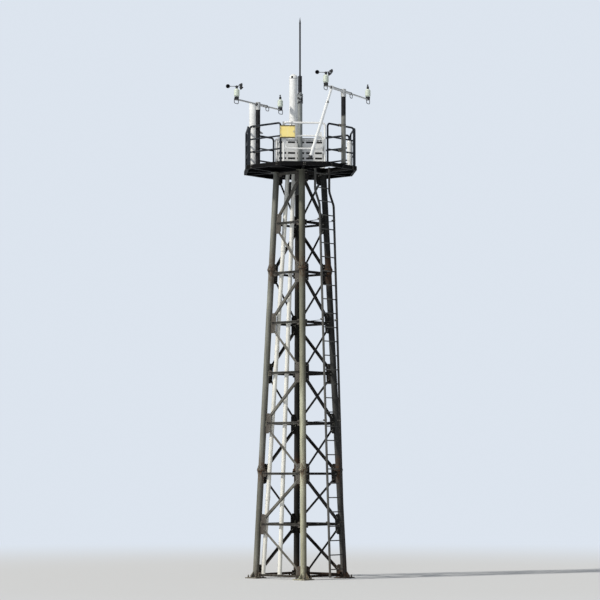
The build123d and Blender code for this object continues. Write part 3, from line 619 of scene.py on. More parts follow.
def paint_finish(name, base, grime, roughness, dirt, streak_up=0.05, chips=0.0, shine=0.5):
    """Outdoor paint: a faint change of tone, rain streaks, dust and small chips."""
    finish = Finish(name, roughness, shine=shine)
    colour = finish.mix(finish.clouds(0.3, 0.7, 3.0), base, shade(base, 0.88))
    colour = finish.stain(colour, finish.clouds(0.5, 0.75, 46, streak_up), dirt, grime)
    dust = finish.clouds(0.5, 0.8, 9, 0.5, 6, 0.65)
    colour = finish.stain(colour, dust, dirt, grime)
    if chips:
        colour = finish.stain(colour, finish.clouds(0.66, 0.70, 55, 1.0, 6, 0.7), chips, rust_warm)
    finish.bump(finish.noise(160, detail=3), 0.18, 0.002)
    return finish.done(colour, finish.between(dust, 0.0, 1.0, roughness, min(roughness + 0.25, 1.0)))


def plastic_finish(name, base, roughness, worn, wear):
    """Moulded plastic: fine grain and a chalky bloom from the sun."""
    finish = Finish(name, roughness)
    bloom = finish.clouds(0.45, 0.75, 14, detail=5)
    finish.bump(finish.noise(420, detail=2), 0.25, 0.0006)
    return finish.done(finish.stain(base, bloom, wear, worn),
                       finish.between(bloom, 0.0, 1.0, roughness, roughness + 0.2))


def metal_finish(name, base, roughness, grain_up=0.05):
    """Drawn or cast metal with fine draw lines and dull spots."""
    finish = Finish(name, roughness, 0.85)
    lines = finish.clouds(0.3, 0.7, 220, grain_up, 3)
    dull = finish.clouds(0.45, 0.7, 16, detail=5)
    colour = finish.stain(finish.mix(lines, base, shade(base, 0.75)), dull, 0.5, shade(base, 0.5))
    finish.bump(lines, 0.1, 0.0006)
    return finish.done(colour, finish.between(dull, 0.0, 1.0, roughness, roughness + 0.25))


def mast_finish(name, bare, light, dark):
    """Grey galvanised tube that is painted dark above a height."""
    finish = Finish(name, 0.5, shine=0.2)
    ragged = finish.plus(finish.z, finish.between(finish.noise(9, detail=5), 0.3, 0.7, -0.05, 0.05))
    upper = finish.between(ragged, bare - 0.03, bare + 0.03)
    grey = finish.mix(finish.clouds(0.35, 0.68, 4, 0.3, 5), light, dark)
    grey = finish.stain(grey, finish.clouds(0.48, 0.7, 60, 0.02, 3), 0.5, shade(dark, 0.5))
    paint = finish.mix(finish.clouds(0.4, 0.7, 20, detail=5), (0.006, 0.006, 0.007), (0.018, 0.018, 0.02))
    finish.bump(finish.noise(120), 0.25, 0.002)
    return finish.done(finish.mix(upper, grey, paint))


def tread_finish(name, base, grime):
    """Painted deck plate with raised lozenges on a square pattern."""
    finish = Finish(name, 0.5, shine=0.2)
    bars = []
    for a, b in ((finish.x, finish.y), (finish.y, finish.x)):
        across = finish.maths("SINE", finish.times(finish.plus(a, b), 150.0))
        along = finish.maths("SINE", finish.times(finish.maths("SUBTRACT", a, b), 60.0))
        bars.append(finish.times(finish.between(across, 0.55, 0.9), finish.between(along, 0.1, 0.5)))
    raised = finish.maths("MAXIMUM", *bars)
    worn = finish.clouds(0.4, 0.7, 5, detail=6)
    colour = finish.stain(finish.mix(worn, base, grime), raised, 0.4, shade(base, 3))
    finish.bump(raised, 0.6, 0.002)
    return finish.done(colour, finish.between(worn, 0.0, 1.0, 0.45, 0.8))


def rod_finish(name):
    """Dark weathered metal, blotched with bare zinc round the clamp."""
    finish = Finish(name, 0.5, shine=0.25)
    clamp = finish.maths("LESS_THAN", finish.z, rod_pipe.top + 0.05)
    blotches = finish.clouds(0.47, 0.55, 26, detail=5, rough=0.7)
    dark = finish.mix(finish.clouds(0.4, 0.7, 90, 0.1), (0.008, 0.009, 0.012), (0.028, 0.029, 0.032))
    finish.bump(finish.noise(140), 0.3, 0.0015)
    return finish.done(finish.stain(dark, clamp, blotches, (0.34, 0.36, 0.36)))


def yellow_finish(name):
    """Yellow paint with strips of painted shade along the box's top and bottom."""
    finish = Finish(name, 0.45)
    low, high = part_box("yellow_box")
    colour = finish.mix(finish.clouds(0.3, 0.7, 5, detail=5), (0.96, 0.79, 0.29), (0.92, 0.71, 0.22))
    colour = finish.stain(colour, finish.clouds(0.52, 0.75, 30, 0.05), 0.4, (0.93, 0.84, 0.56))
    # Painted shade: dark strips along the top and bottom of the box.
    unshaded_middle = finish.times(finish.maths("GREATER_THAN", finish.z, low.z + display_strip),
                         finish.maths("LESS_THAN", finish.z, high.z - display_strip))
    finish.bump(finish.noise(180, detail=3), 0.15, 0.002)
    return finish.done(finish.mix(unshaded_middle, (0.035, 0.028, 0.022), colour))


def dress(finish, *names):
    """Give a finish to the solids of these names, or of these endings with a leading _, and hand it back."""
    endings = tuple(name for name in names if name.startswith("_"))
    for name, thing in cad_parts.items():
        if name in names or name.endswith(endings):
            thing.data.materials.clear()
            thing.data.materials.append(finish)
    return finish


# The legs are lit and shaded copies of one steel: lighter on the front and left legs, darkened to painted
# shade on the right and back legs. Every leg has a painted lit side and painted shade on its other side, and
# the front and right legs also have painted shade high up.
leg_steel = dress(steel_finish("leg_steel_front", (0.30, 0.305, 0.24), (0.14, 0.135, 0.095), 0.2,
                               (1, -1), painted_shade_gains=(0.56, 1.8)), "front_leg")
dress(steel_finish("leg_steel_left", (0.25, 0.255, 0.23), (0.12, 0.118, 0.10), 0.2, (-1, -1)), "left_leg")
dress(steel_finish("leg_steel_right_painted_shade", (0.075, 0.077, 0.077), (0.026, 0.025, 0.023), 0.22,
                   (1, 1), 0.08, painted_shade_gains=(0.5, 0.9)), "right_leg")
dress(steel_finish("leg_steel_back_painted_shade", (0.028, 0.028, 0.026), (0.010, 0.009, 0.008), 0.25,
                   (-1, 1), 0.05), "back_leg")
# The lattice steel in two copies: a lighter, lit one on the front left face, and a much darker one, painted
# shade, on the other three faces.
dress(steel_finish("lattice_near", (0.20, 0.195, 0.17), (0.07, 0.064, 0.052), 0.25, joints=True),
      "front_left_lattice")
dress(steel_finish("lattice_painted_shade", (0.028, 0.027, 0.025), (0.010, 0.009, 0.008), 0.3, shine=0.05),
      "_right_lattice", "back_left_lattice")
# Ladder steel, with painted shade on its far rail.
ladder_steel = dress(steel_finish("ladder_steel", (0.14, 0.14, 0.13), (0.05, 0.048, 0.044), 0.22, shine=0.12,
                                  far_rail_painted_shade=(0.028, 0.027, 0.026)), "ladder", "ladder_brackets")
bolt_steel = steel_finish("fastener_steel", (0.28, 0.27, 0.24), (0.10, 0.09, 0.075), 0.45)
# The platform's frame, its welds and the deck plates are darkened almost to black: painted shade over their
# paint.
platform_painted_shade = dress(paint_finish("platform_painted_shade", (0.004, 0.004, 0.0045), (0.016, 0.015, 0.014), 0.6,
                                    0.25, chips=0.25, shine=0.08), "platform_rim", "_beam", "outriggers")
dress(tread_finish("deck_tread_painted_shade", (0.006, 0.006, 0.007), (0.022, 0.021, 0.019)), "deck_plates")
# The guardrail in two copies: a near-black one on seven panels, dark paint with painted shade, and a white
# one on the front panel, painted light.
rail_paint = dress(paint_finish("rail_paint", (0.010, 0.014, 0.021), (0.045, 0.045, 0.045), 0.45, 0.2,
                                chips=0.35, shine=0.3), "_guardrail")
front_rail_painted_light = dress(paint_finish("rail_white_painted_light", (0.84, 0.84, 0.82), (0.42, 0.40, 0.35), 0.38,
                                      0.25), "front_guardrail")
white_paint = dress(paint_finish("white_paint", (0.84, 0.85, 0.84), (0.42, 0.41, 0.38), 0.4, 0.22, 0.03),
                    "equipment_cabinet", "_column", "terminal_box", "mast_stay")
conduit_plastic = dress(paint_finish("conduit_plastic", (0.80, 0.79, 0.73), (0.33, 0.31, 0.25), 0.5, 0.4,
                                     0.03), "_conduit")
dress(mast_finish("left_mast_steel", left_mast_bare, (0.20, 0.20, 0.19), (0.09, 0.09, 0.085)), "left_mast")
dress(mast_finish("right_mast_steel", right_mast_bare, (0.24, 0.24, 0.22), (0.11, 0.11, 0.10)),
      "right_mast")
rod_metal = dress(rod_finish("rod_metal"), "lightning_rod")
dress(steel_finish("rod_pipe_steel", (0.32, 0.34, 0.33), (0.15, 0.16, 0.155), 0.12), "rod_pipe")
dress(metal_finish("arm_metal", (0.74, 0.74, 0.72), 0.42, 1.0), "_crossarm")
bright_steel = metal_finish("bright_steel", (0.52, 0.52, 0.50), 0.36)
sensor_paint = dress(paint_finish("sensor_paint", (0.66, 0.72, 0.62), (0.25, 0.26, 0.22), 0.42, 0.3, 0.1),
                     "_sensor")
cup_plastic = dress(plastic_finish("cup_plastic", (0.014, 0.014, 0.016), 0.38, (0.10, 0.10, 0.10), 0.22),
                    "_rotor", "_vane")
black_plastic = dress(plastic_finish("black_plastic", (0.014, 0.014, 0.016), 0.5, (0.07, 0.07, 0.07), 0.25),
                      "_leads")
dark_plastic = dress(plastic_finish("dark_box", (0.040, 0.040, 0.040), 0.5, (0.14, 0.14, 0.13), 0.3),
                     "junction_box")
cell_face = plastic_finish("solar_cell", (0.012, 0.018, 0.05), 0.16, (0.05, 0.06, 0.10), 0.3)
dress(paint_finish("shelf_paint", (0.008, 0.008, 0.009), (0.03, 0.028, 0.026), 0.5, 0.3, chips=0.3,
                   shine=0.15), "right_mast_shelf")
dress(yellow_finish("yellow_paint"), "yellow_box")
dress(plastic_finish("panel_back", (0.74, 0.76, 0.78), 0.35, (0.5, 0.5, 0.48), 0.3), "solar_panel")


# Fastenings of the tower

def make_anchor_bolts():
    """Four anchor bolts through each base plate, each with two nuts on washers."""
    bm = bmesh.new()
    shank = outline(0, (0, 1), (10, 1), (10, 71), (7.5, 75), (0, 75))
    washer = outline(0, (9.5, 0), (21, 0), (21, 3), (9.5, 3))
    nut = outline(0, (9.5, 3), (17.2, 3), (18.5, 5), (18.5, 16), (16, 18.5), (9.5, 18.5))
    for turn, dx, dy in product(quarters, both, both):
        foot = leg_point(turn, 0)
        place = at(foot.x + dx * anchor_offset, foot.y + dy * anchor_offset, 0)
        lathe(bm, place, shank, 12)
        for low in (base_plate_thick, base_plate_thick + anchor_nut_rise):
            lathe(bm, place @ at(0, 0, low), washer, 16)
            lathe(bm, place @ at(0, 0, low), nut, 6)
    piece("anchor_bolts", bm, bolt_steel)


def make_leg_joints():
    """Eight bolts through each pair of flanges; weld beads at base plates, cap plates and flanges."""
    bolts, welds = bmesh.new(), bmesh.new()
    circle = (splice_radius + leg_radius) / 2
    for turn in quarters:
        axis = (leg_point(turn, 1) - leg_point(turn, 0)).normalized()
        side = around(turn, 1, 0)
        side = (side - axis * side.dot(axis)).normalized()
        bead(welds, Matrix.Translation(leg_point(turn, base_plate_thick)), leg_radius, 0.006, 28)
        bead(welds, Matrix.Translation(leg_point(turn, leg_top)), leg_radius, 0.005, 28)
        for row in splice_rows:
            seat = leg_point(turn, row_height(row) + splice_rise)
            for along in (-flange_thick, gasket_thick + flange_thick):
                bead(welds, facing(seat + axis * along, axis), leg_radius, 0.005, 28)
            for a in map(radians, splice_bolt_turns):
                out = (side * cos(a) + axis.cross(side) * sin(a)) * circle
                bolt(bolts, facing(seat + out + axis * (gasket_thick + flange_thick), axis), 0.0105, False)
                bolt(bolts, facing(seat + out - axis * flange_thick, -axis), 0.0105)
    piece("splice_bolts", bolts, bolt_steel)
    piece("leg_welds", welds, leg_steel, crease=60)


def make_gusset_welds():
    """Weld seams along the legs at the gussets of all four faces."""
    bm = bmesh.new()
    for turn, k, side, face in product(quarters, range(bay_count + 1), both, both):
        reach = end_seam_half if k in (0, bay_count) else gusset_seam_half
        path = []
        for v in (row_climb(k) - reach, row_climb(k) + reach):
            path.append(on_face(turn, side * (half_span(v) - leg_radius), v, face * (gusset_half + 0.001)))
        tube(bm, path, 0.004)
    piece("gusset_welds", bm, leg_steel, crease=60)


def make_cap_bolts():
    """Bolts through the legs' cap plates into the platform's beams."""
    bm = bmesh.new()
    for turn, side in product(quarters, quarters):
        spot = leg_point(turn, leg_top) + around(side, cap_bolt_offset, 0)
        bolt(bm, facing(spot, (0, 0, -1)), 0.0075, False)
    piece("cap_plate_bolts", bm, bolt_steel)


def make_lattice_bolts(turn, hand, name):
    """Bolts of one face: two at each end of each bar, the horizontals outside and the diagonals inside."""
    bm = bmesh.new()
    out = outwards(turn)
    spots = []
    for k in range(bay_count + 1):
        v, ends = row_climb(k), product(both, bar_bolts)
        spots += [(side * (half_span(v) - reach), v - bar_bolt_drop, True) for side, reach in ends]
    for k in range(bay_count):
        way = hand if k % 2 == 0 else -hand
        low, high = row_climb(k), row_climb(k + 1)
        start, end = Vector((-way * half_span(low), low)), Vector((way * half_span(high), high))
        run = (end - start).normalized()
        for origin, sign in ((start, 1), (end, -1)):
            spots += [(*(origin + run * sign * reach), False) for reach in diagonal_bolts]
    for u, v, outside in spots:
        front, back = gusset_half + angle_thick * outside, gusset_half + angle_thick * (not outside)
        bolt(bm, facing(on_face(turn, u, v, front), out), 0.012, outside)
        bolt(bm, facing(on_face(turn, u, v, -back), -out), 0.012, not outside)
    piece(name, bm, bolt_steel)


# Platform and guardrail

def make_rim_bolts():
    """Bolts through the rim where the beams end, and screws along the deck's edge."""
    bm = bmesh.new()
    middle = (rim_low + rim_high) / 2
    ends = [(turn, side * beam_offset) for turn, side in product(quarters, both)]
    ends += [(turn + 45, 0.0) for turn in quarters]
    across, up = rim_bolt_spread
    for (turn, along), dy, dz in product(ends, both, both):
        spot = around(turn, deck_apothem, along + dy * across, middle + dz * up)
        bolt(bm, facing(spot, around(turn, 1, 0)), 0.007, False)
    for turn, along in product(eighths, deck_screws):
        screw(bm, around(turn, deck_apothem - deck_screw_inset, along, deck_top), (0, 0, 1), 0.009)
    piece("rim_bolts", bm, bolt_steel)


def make_beam_welds():
    """Weld seams where the platform's beams cross and meet the rim, and at the rim's corners."""
    bm = bmesh.new()
    half, inside = beam_width / 2, deck_apothem - beam_width
    for turn, side in product(quarters, both):
        for along in (side * (beam_offset - half), side * (beam_offset + half)):
            tube(bm, [around(turn, beam_offset + end, along, rim_low) for end in (-half, half)], 0.0035)
        tube(bm, [around(turn, inside, side * beam_offset + end, rim_low) for end in (-half, half)], 0.0035)
    for turn in eighths:
        outer = around(turn, deck_apothem - 0.001, deck_apothem * tan(pi / 8), rim_low)
        tube(bm, [outer, outer + Vector((0, 0, rim_high - rim_low))], 0.003)
        tube(bm, [outer, around(turn, inside, inside * tan(pi / 8), rim_low)], 0.003)
    piece("beam_welds", bm, platform_painted_shade, crease=60)


def on_panel(turn, along, height):
    """A point on a guardrail panel, height above the deck."""
    return around(turn, rail_apothem, along, deck_top + height)


def make_rail_welds(turns, name, finish, heights):
    """Weld beads round the posts' feet, and at the ends of the rails at some heights."""
    bm = bmesh.new()
    for turn, side in product(turns, both):
        foot = side * rail_half
        bead(bm, Matrix.Translation(on_panel(turn, foot, 0)), rail_foot_radius, 0.0025, 20)
        bead(bm, Matrix.Translation(on_panel(turn, foot, rail_foot_thick)), rail_radius, 0.004, 20)
        for height in heights:
            spot = on_panel(turn, side * (rail_half - rail_weld_inset), height)
            bead(bm, facing(spot, around(turn, 0, 1)), low_rail_radius, 0.0035, 16)
    piece(name, bm, finish, crease=60)


# Ladder

def ladder_x(z):
    """Distance of the ladder's middle plane from the tower's axis."""
    straight = leg_foot - leg_lean * min(z, ladder_bend_low) + ladder_standoff
    share = (z - ladder_bend_low) / (ladder_bend_high - ladder_bend_low)
    return straight + (ladder_top_x - straight) * min(1, max(0, share))


def make_rung_welds():
    """Weld beads where the rungs meet the rails, and plugs in the rails' ends."""
    bm = bmesh.new()
    z = ladder_bottom + ladder_rung_step / 2
    while z < deck_top:
        for side in both:
            y = ladder_centre + side * (ladder_half_width - ladder_rail_radius + 0.003)
            bead(bm, facing((ladder_x(z), y, z), (0, 1, 0)), ladder_rung_radius, 0.0035, 12, 4)
        z += ladder_rung_step
    plug = [(0, -0.012)] + outline(ladder_rail_radius, (-1, -12), (3, -6), (3, 30), (0.5, 32))
    for side in both:
        y = ladder_centre + side * ladder_half_width
        lathe(bm, at(ladder_x(ladder_bottom), y, ladder_bottom), plug, 20)
    piece("ladder_welds", bm, ladder_steel, crease=50)


def make_ladder_clamps():
    """U-bolts on saddle plates that hold the ladder's rails to their brackets."""
    bm = bmesh.new()
    outer, out = ladder_standoff * cos(slope), outwards(0)
    plate, loop = outer - ladder_rail_radius - saddle_drop, ladder_rail_radius + 0.004
    for k, side in product(ladder_bracket_rows, both):
        u, v = ladder_centre + side * ladder_half_width, row_climb(k) + ladder_bracket_seat + 0.015
        slab(bm, face_frame(0, u, v, plate), (0.084, 0.028, 0.006), 0.0015)
        u_bolt(bm, on_face(0, u, v, outer), out, (0, 1, 0), loop, ladder_rail_radius + 0.026)
        for leg in both:
            bolt(bm, facing(on_face(0, u + leg * loop, v, plate - 0.003), -out), 0.008, False)
    piece("ladder_u_bolts", bm, bolt_steel)


# Conduits and junction box

def conduit_point(ends, z):
    """A point on a conduit's axis, its ends given along the front left face."""
    share = (z - conduit_bottom) / (conduit_top - conduit_bottom)
    return on_face(270, ends[0] + (ends[1] - ends[0]) * share, z / cos(slope), -conduit_depth)


def make_conduit_fittings():
    """Couplings and end rings of the conduits, and the ears and screws of their clamps."""
    rings, screws = bmesh.new(), bmesh.new()
    half = [(5, 0), (6, 4), (6, 45), (5, 52), (0, 55)]
    coupling = outline(conduit_radius, *[(out, -up) for out, up in reversed(half[1:])], *half)
    end_ring = outline(conduit_radius, (0, 2), (5, 4), (5, 60), (0, 66))
    ear = conduit_radius + conduit_clamp_thick + conduit_ear_reach
    upright = face_frame(270, 0, 0, 0).to_3x3().to_4x4()
    for ends in conduit_ends:
        low, high = conduit_point(ends, conduit_bottom), conduit_point(ends, conduit_top)
        axis = (high - low).normalized()
        for z in coupling_heights:
            lathe(rings, facing(conduit_point(ends, z), axis), coupling, 28)
        lathe(rings, facing(low, axis), end_ring, 28)
        for k, side in product(range(1, bay_count), both):
            place = Matrix.Translation(conduit_point(ends, row_height(k))) @ upright
            slab(screws, place @ at(side * 0.005, 0, -ear), (0.005, 0.036, 0.026), 0.001)
            seat = place @ at(side * 0.0075, 0, -ear - 0.003) @ turned(90 * side, "Y")
            bolt(screws, seat, 0.006, side > 0)
    piece("conduit_couplings", rings, conduit_plastic)
    piece("conduit_clamp_screws", screws, bolt_steel)


def make_junction_fittings():
    """Lid, cable glands and screws of the junction box."""
    lid, screws = bmesh.new(), bmesh.new()
    low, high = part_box("junction_box")
    width, height = high.x - low.x, junction_height
    middle = Vector(((low.x + high.x) / 2, low.y, low.z + height / 2))
    slab(lid, at(middle.x, middle.y - 0.005, middle.z), (width * 0.94, 0.010, height * 0.95), 0.003, 2)
    gland = outline(0, (0, 0), (17, 0), (17, 8), (13, 10), (13, 22), (8, 28), (0, 28))
    for side in (-0.06, 0.0, 0.06):
        lathe(lid, at(middle.x + side, middle.y + 0.06, low.z) @ turned(180, "X"), gland, 12)
    for dx, dz in product((-0.42, 0.42), (-0.43, 0.43)):
        screw(screws, middle + Vector((dx * width, -0.010, dz * height)), (0, -1, 0), 0.007)
    piece("junction_lid", lid, dark_plastic)
    piece("junction_screws", screws, bolt_steel)


# Equipment cabinet, in its own frame: local -Y is the front

def cabinet_place(right, back, height):
    """A placement on the cabinet, height above the deck."""
    return turned(45) @ at(cabinet_right + right, cabinet_back + back, deck_top + height)


def make_cabinet_vents():
    """Slanting blades in the cabinet's vents, over black sheets that paint the shade inside the vents."""
    blades, mesh = bmesh.new(), bmesh.new()
    for face, row, k in product(both, vent_rows, range(vent_count)):
        x = (k - (vent_count - 1) / 2) * vent_pitch
        back = cabinet_place(x, face * (cabinet_depth / 2 - vent_depth + 0.002), row)
        # Painted shade: a black sheet at the back of each vent.
        slab(mesh, back, (vent_width - 0.002, 0.002, vent_height - 0.002), 0.0004)
        tilt = turned(-face * louvre_slant, "X")
        for lift in louvre_lifts:
            blade = cabinet_place(x, face * (cabinet_depth / 2 - 0.008), row + lift) @ tilt
            slab(blades, blade, (vent_width - 0.004, 0.013, 0.0015), 0.0004)
    piece("vent_painted_shade", mesh, black_plastic)
    piece("vent_louvres", blades, dark_plastic)


def make_cabinet_seams():
    """Dark seals round the cabinet's front door and its back panel, and under its lid."""
    bm = bmesh.new()
    for face in both:
        y = face * (cabinet_depth / 2 + 0.0004)
        for height in (door_low, door_high):
            slab(bm, cabinet_place(0, y, height), (2 * door_half_width, 0.0012, 0.0045), 0.0004)
        for side in both:
            place = cabinet_place(side * door_half_width, y, (door_low + door_high) / 2)
            slab(bm, place, (0.0045, 0.0012, door_high - door_low), 0.0004)
    under_lid = cabinet_place(0, 0, cabinet_height - cabinet_lid_thick - 0.0015)
    slab(bm, under_lid, (cabinet_width + 0.004, cabinet_depth + 0.004, 0.003), 0.001)
    piece("cabinet_seals", bm, black_plastic)


def make_cabinet_metal():
    """Hinges, handles, lifting eyes and screws of the cabinet."""
    bm = bmesh.new()
    front = -cabinet_depth / 2
    knuckles = outline(0, (0, 0), (6.5, 0), (7, 2), (7, 31), (6, 32), (7, 33), (7, 62), (6.5, 64), (0, 64))
    lock = outline(0, (0, 0), (9, 0), (9, 4), (6, 5), (0, 4))
    eye_foot = outline(0, (0, 0), (14, 0), (14, 4), (7, 7), (6, 12), (0, 12))
    for height in hinge_rows:
        place = cabinet_place(-0.508, front - 0.007, height)
        lathe(bm, place @ at(0, 0, -0.032), knuckles, 14)
        slab(bm, place @ at(0.016, 0.005, 0), (0.028, 0.004, 0.056), 0.001)
    for height in handle_rows:
        place = cabinet_place(0.484, front - 0.004, height)
        slab(bm, place, (0.026, 0.008, 0.115), 0.003, 2)
        slab(bm, place @ at(0, -0.010, 0.012), (0.014, 0.010, 0.082), 0.004, 2)
        lathe(bm, facing(place @ Vector((0, -0.004, -0.042)), around(45, 0, -1)), lock, 14)
    for right, back in product(both, both):
        eye = cabinet_place(right * lifting_eyes[0], back * lifting_eyes[1], cabinet_height)
        lathe(bm, eye, eye_foot, 14)
        bead(bm, eye @ at(0, 0, 0.026) @ turned(90, "X"), 0.014, 0.0035, 18)
    lid_middle = cabinet_height - cabinet_lid_thick / 2
    for k, face in product(range(6), both):
        place = cabinet_place((k - 2.5) * lid_screw_pitch, face * (cabinet_depth / 2 + 0.012), lid_middle)
        screw(bm, place.translation, around(45, 0, face), 0.005)
    piece("cabinet_hardware", bm, bright_steel)


# Boxes on the front panel, and the solar panel over the left rail

def box_place(along, out, height):
    """A placement on the front panel, out from its rails, height above the deck."""
    return turned(45) @ at(along, -rail_apothem - rail_radius - out, deck_top + height)


def make_yellow_box_fittings():
    """Lid seam, hinges, latch, screws and rail brackets of the yellow box."""
    dark, bright = bmesh.new(), bmesh.new()
    half, middle = display_width / 2 - 0.012, display_rise + display_height / 2
    tall = display_height / 2 - display_strip - 0.012
    for side in both:
        upright = box_place(display_along + side * half, display_depth, middle)
        slab(dark, upright, (0.003, 0.0014, 2 * tall), 0.0004)
        level = box_place(display_along, display_depth, middle + side * tall)
        slab(dark, level, (2 * half, 0.0014, 0.003), 0.0004)
        hinge = box_place(display_along - half - 0.006, display_depth + 0.004, middle + side * tall * 0.6)
        lathe(bright, hinge @ at(0, 0, -0.016), outline(0, (0, 0), (5, 0), (5, 32), (0, 32)), 12)
        for lift in both:
            edge, height = display_along + side * (half - 0.016), middle + lift * (tall - 0.014)
            screw(bright, box_place(edge, display_depth, height).translation, around(45, 0, -1), 0.0055)
        along = display_along + side * display_bracket
        bracket = box_place(along, -0.002, display_rise + display_height - 0.005)
        slab(bright, bracket @ at(0, -0.004, 0.02), (0.03, 0.005, 0.13), 0.001)
        ring = on_panel(315, along, rail_height)
        u_bolt(bright, ring, (0, 0, 1), around(45, 0, 1), rail_radius + 0.003, rail_radius)
    latch = box_place(display_along + half - 0.014, display_depth + 0.004, middle)
    slab(bright, latch, (0.018, 0.008, 0.042), 0.002, 2)
    piece("yellow_box_seams", dark, black_plastic)
    piece("yellow_box_hardware", bright, bright_steel)


def make_solar_fittings():
    """Frame, cells and terminal box of the small solar panel."""
    cells, lines, metal, dark = (bmesh.new() for _ in range(4))
    height = deck_top + rail_height + rail_radius + solar_post_height
    place = at(-rail_apothem, solar_along, height) @ turned(solar_tilt, "Y")
    for row, k in product(range(cell_rows), range(cell_columns)):
        x, y = (row - (cell_rows - 1) / 2) * cell_pitch[0], (k - (cell_columns - 1) / 2) * cell_pitch[1]
        slab(cells, place @ at(x, y, solar_thick + 0.0006), (cell_length, 0.042, 0.0012), 0.0003)
        for rib in (-0.011, 0.011):
            slab(lines, place @ at(x, y + rib, solar_thick + 0.0014), (cell_length, 0.0012, 0.0004), 0.0001)
    for side in both:
        end = place @ at(side * (solar_length / 2 - 0.006), 0, solar_thick / 2)
        slab(metal, end, (0.0125, solar_width + 0.001, solar_thick + 0.003), 0.001)
        edge = place @ at(0, side * (solar_width / 2 - 0.006), solar_thick / 2)
        slab(metal, edge, (solar_length - 0.025, 0.0125, solar_thick + 0.003), 0.001)
    slab(dark, place @ at(0.05, 0.06, -0.009), (0.055, 0.08, 0.018), 0.003, 2)
    piece("solar_cells", cells, cell_face)
    piece("solar_lines", lines, bright_steel)
    piece("solar_frame", metal, bright_steel)
    piece("solar_terminal_box", dark, black_plastic)


def make_terminal_fittings():
    """Lid and glands of the small terminal box inside the front panel."""
    lid, glands = bmesh.new(), bmesh.new()
    along, near = rail_half - terminal_width, -rail_apothem + low_rail_radius
    middle = deck_top + 2 * rail_step
    place = turned(45) @ at(along, near + terminal_depth + 0.003, middle)
    slab(lid, place, (terminal_width - 0.008, 0.006, terminal_height - 0.008), 0.002)
    gland = outline(0, (0, 0), (14, 0), (14, 7), (10, 9), (10, 20), (6, 25), (0, 25))
    for side in (-0.03, 0.03):
        spot = around(45, along + side, near + terminal_depth / 2, middle - terminal_height / 2)
        lathe(glands, facing(spot, (0, 0, -1)), gland, 12)
    piece("terminal_box_lid", lid, white_paint)
    piece("terminal_box_glands", glands, black_plastic)


# Masts, crossarms and sensors

def mast_clamp(bm, mast, bar_radius, height):
    """A block between a mast and a guardrail bar, with U-bolts round each."""
    inwards, tangent = around(mast.rail_turn, 1, 0), around(mast.rail_turn, 0, 1)
    centre = Vector((*mast.place, deck_top + height))
    gap = centre.dot(inwards) - rail_apothem
    away = inwards if gap > 0 else -inwards
    bar = centre - inwards * gap
    start, end = bar_radius, abs(gap) - mast.radius
    block = Matrix.Translation(bar + away * (start + end) / 2) @ axes(away, tangent, away.cross(tangent))
    slab(bm, block, (end - start + 0.002, 0.125, 0.05), 0.003)
    for way in both:
        lifted = centre + Vector((0, 0, way * mast_bolt_lift))
        u_bolt(bm, lifted, away, tangent, mast.radius + 0.004, mast.radius)
    for way in both:
        beside = bar + tangent * way * rail_bolt_spread
        u_bolt(bm, beside, -away, (0, 0, 1), bar_radius + 0.004, bar_radius)


def make_mast_clamps():
    """Clamps that tie the sensor masts to the guardrail."""
    bm = bmesh.new()
    for height, bar_radius in ((rail_height, rail_radius), (rail_step, low_rail_radius)):
        for mast in masts:
            mast_clamp(bm, mast, bar_radius, height)
    piece("mast_clamps", bm, bolt_steel)


def make_foot_bolts():
    """Bolts and weld beads round the feet of the masts, the rod pipe and the columns."""
    bm = bmesh.new()
    for tube_foot in (rod_pipe, *masts, *columns):
        foot = at(*tube_foot.place, deck_top + tube_foot.plate)
        for k in range(tube_foot.bolts):
            out = around(foot_bolt_turn + 360 * k / tube_foot.bolts, tube_foot.bolt_circle, 0)
            bolt(bm, foot @ Matrix.Translation(out), 0.0055)
        bead(bm, foot, tube_foot.radius, 0.004, 28)
    piece("foot_bolts", bm, bolt_steel)


def arm_frame(mast):
    """The frame of a mast's crossarm: local X along the arm towards the vane."""
    return at(*mast.place, mast.top + tee_height / 2) @ turned(mast.heading)


def make_arm_fittings():
    """End rings, set screws and collars of both crossarms."""
    dark, bright = bmesh.new(), bmesh.new()
    end_ring = outline(sleeve_radius, (0, -30), (3, -28), (3, 0), (0, 6))
    end_ring += outline(arm_radius, (2, 10), (0, 10))
    for mast in masts:
        arm = arm_frame(mast)
        for reach, way in zip(mast.sleeve, both):
            lathe(dark, arm @ at(way * reach, 0, 0) @ turned(90 * way, "Y"), end_ring, 24)
            for back in sleeve_screws:
                bolt(bright, arm @ at(way * (reach - back), 0, sleeve_radius - 0.001), 0.0055)
        for side, lift in product(both, tee_screws):
            spot = arm @ Vector((0, side * (mast.radius + 0.004), lift))
            bolt(bright, facing(spot, sideways(arm, side)), 0.0065)
        cap = outline(mast.radius, (4, 0), (0, 5)) + [(mast.radius * 0.5, 0.009), (0, 0.010)]
        lathe(bright, arm @ at(0, 0, tee_height / 2), cap, 28)
        for drop, out in ((tee_height / 2, 0.005), (tee_height * 1.5, 0.003)):
            bead(bright, arm @ at(0, 0, -drop), mast.radius + out, 0.003, 28)
    piece("arm_end_rings", dark, black_plastic)
    piece("arm_screws", bright, bright_steel)


def sensor_place(name, height):
    """A placement on a sensor's axis, height above the foot of its housing."""
    low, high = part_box(name)
    return at((low.x + high.x) / 2, (low.y + high.y) / 2, low.z + height)


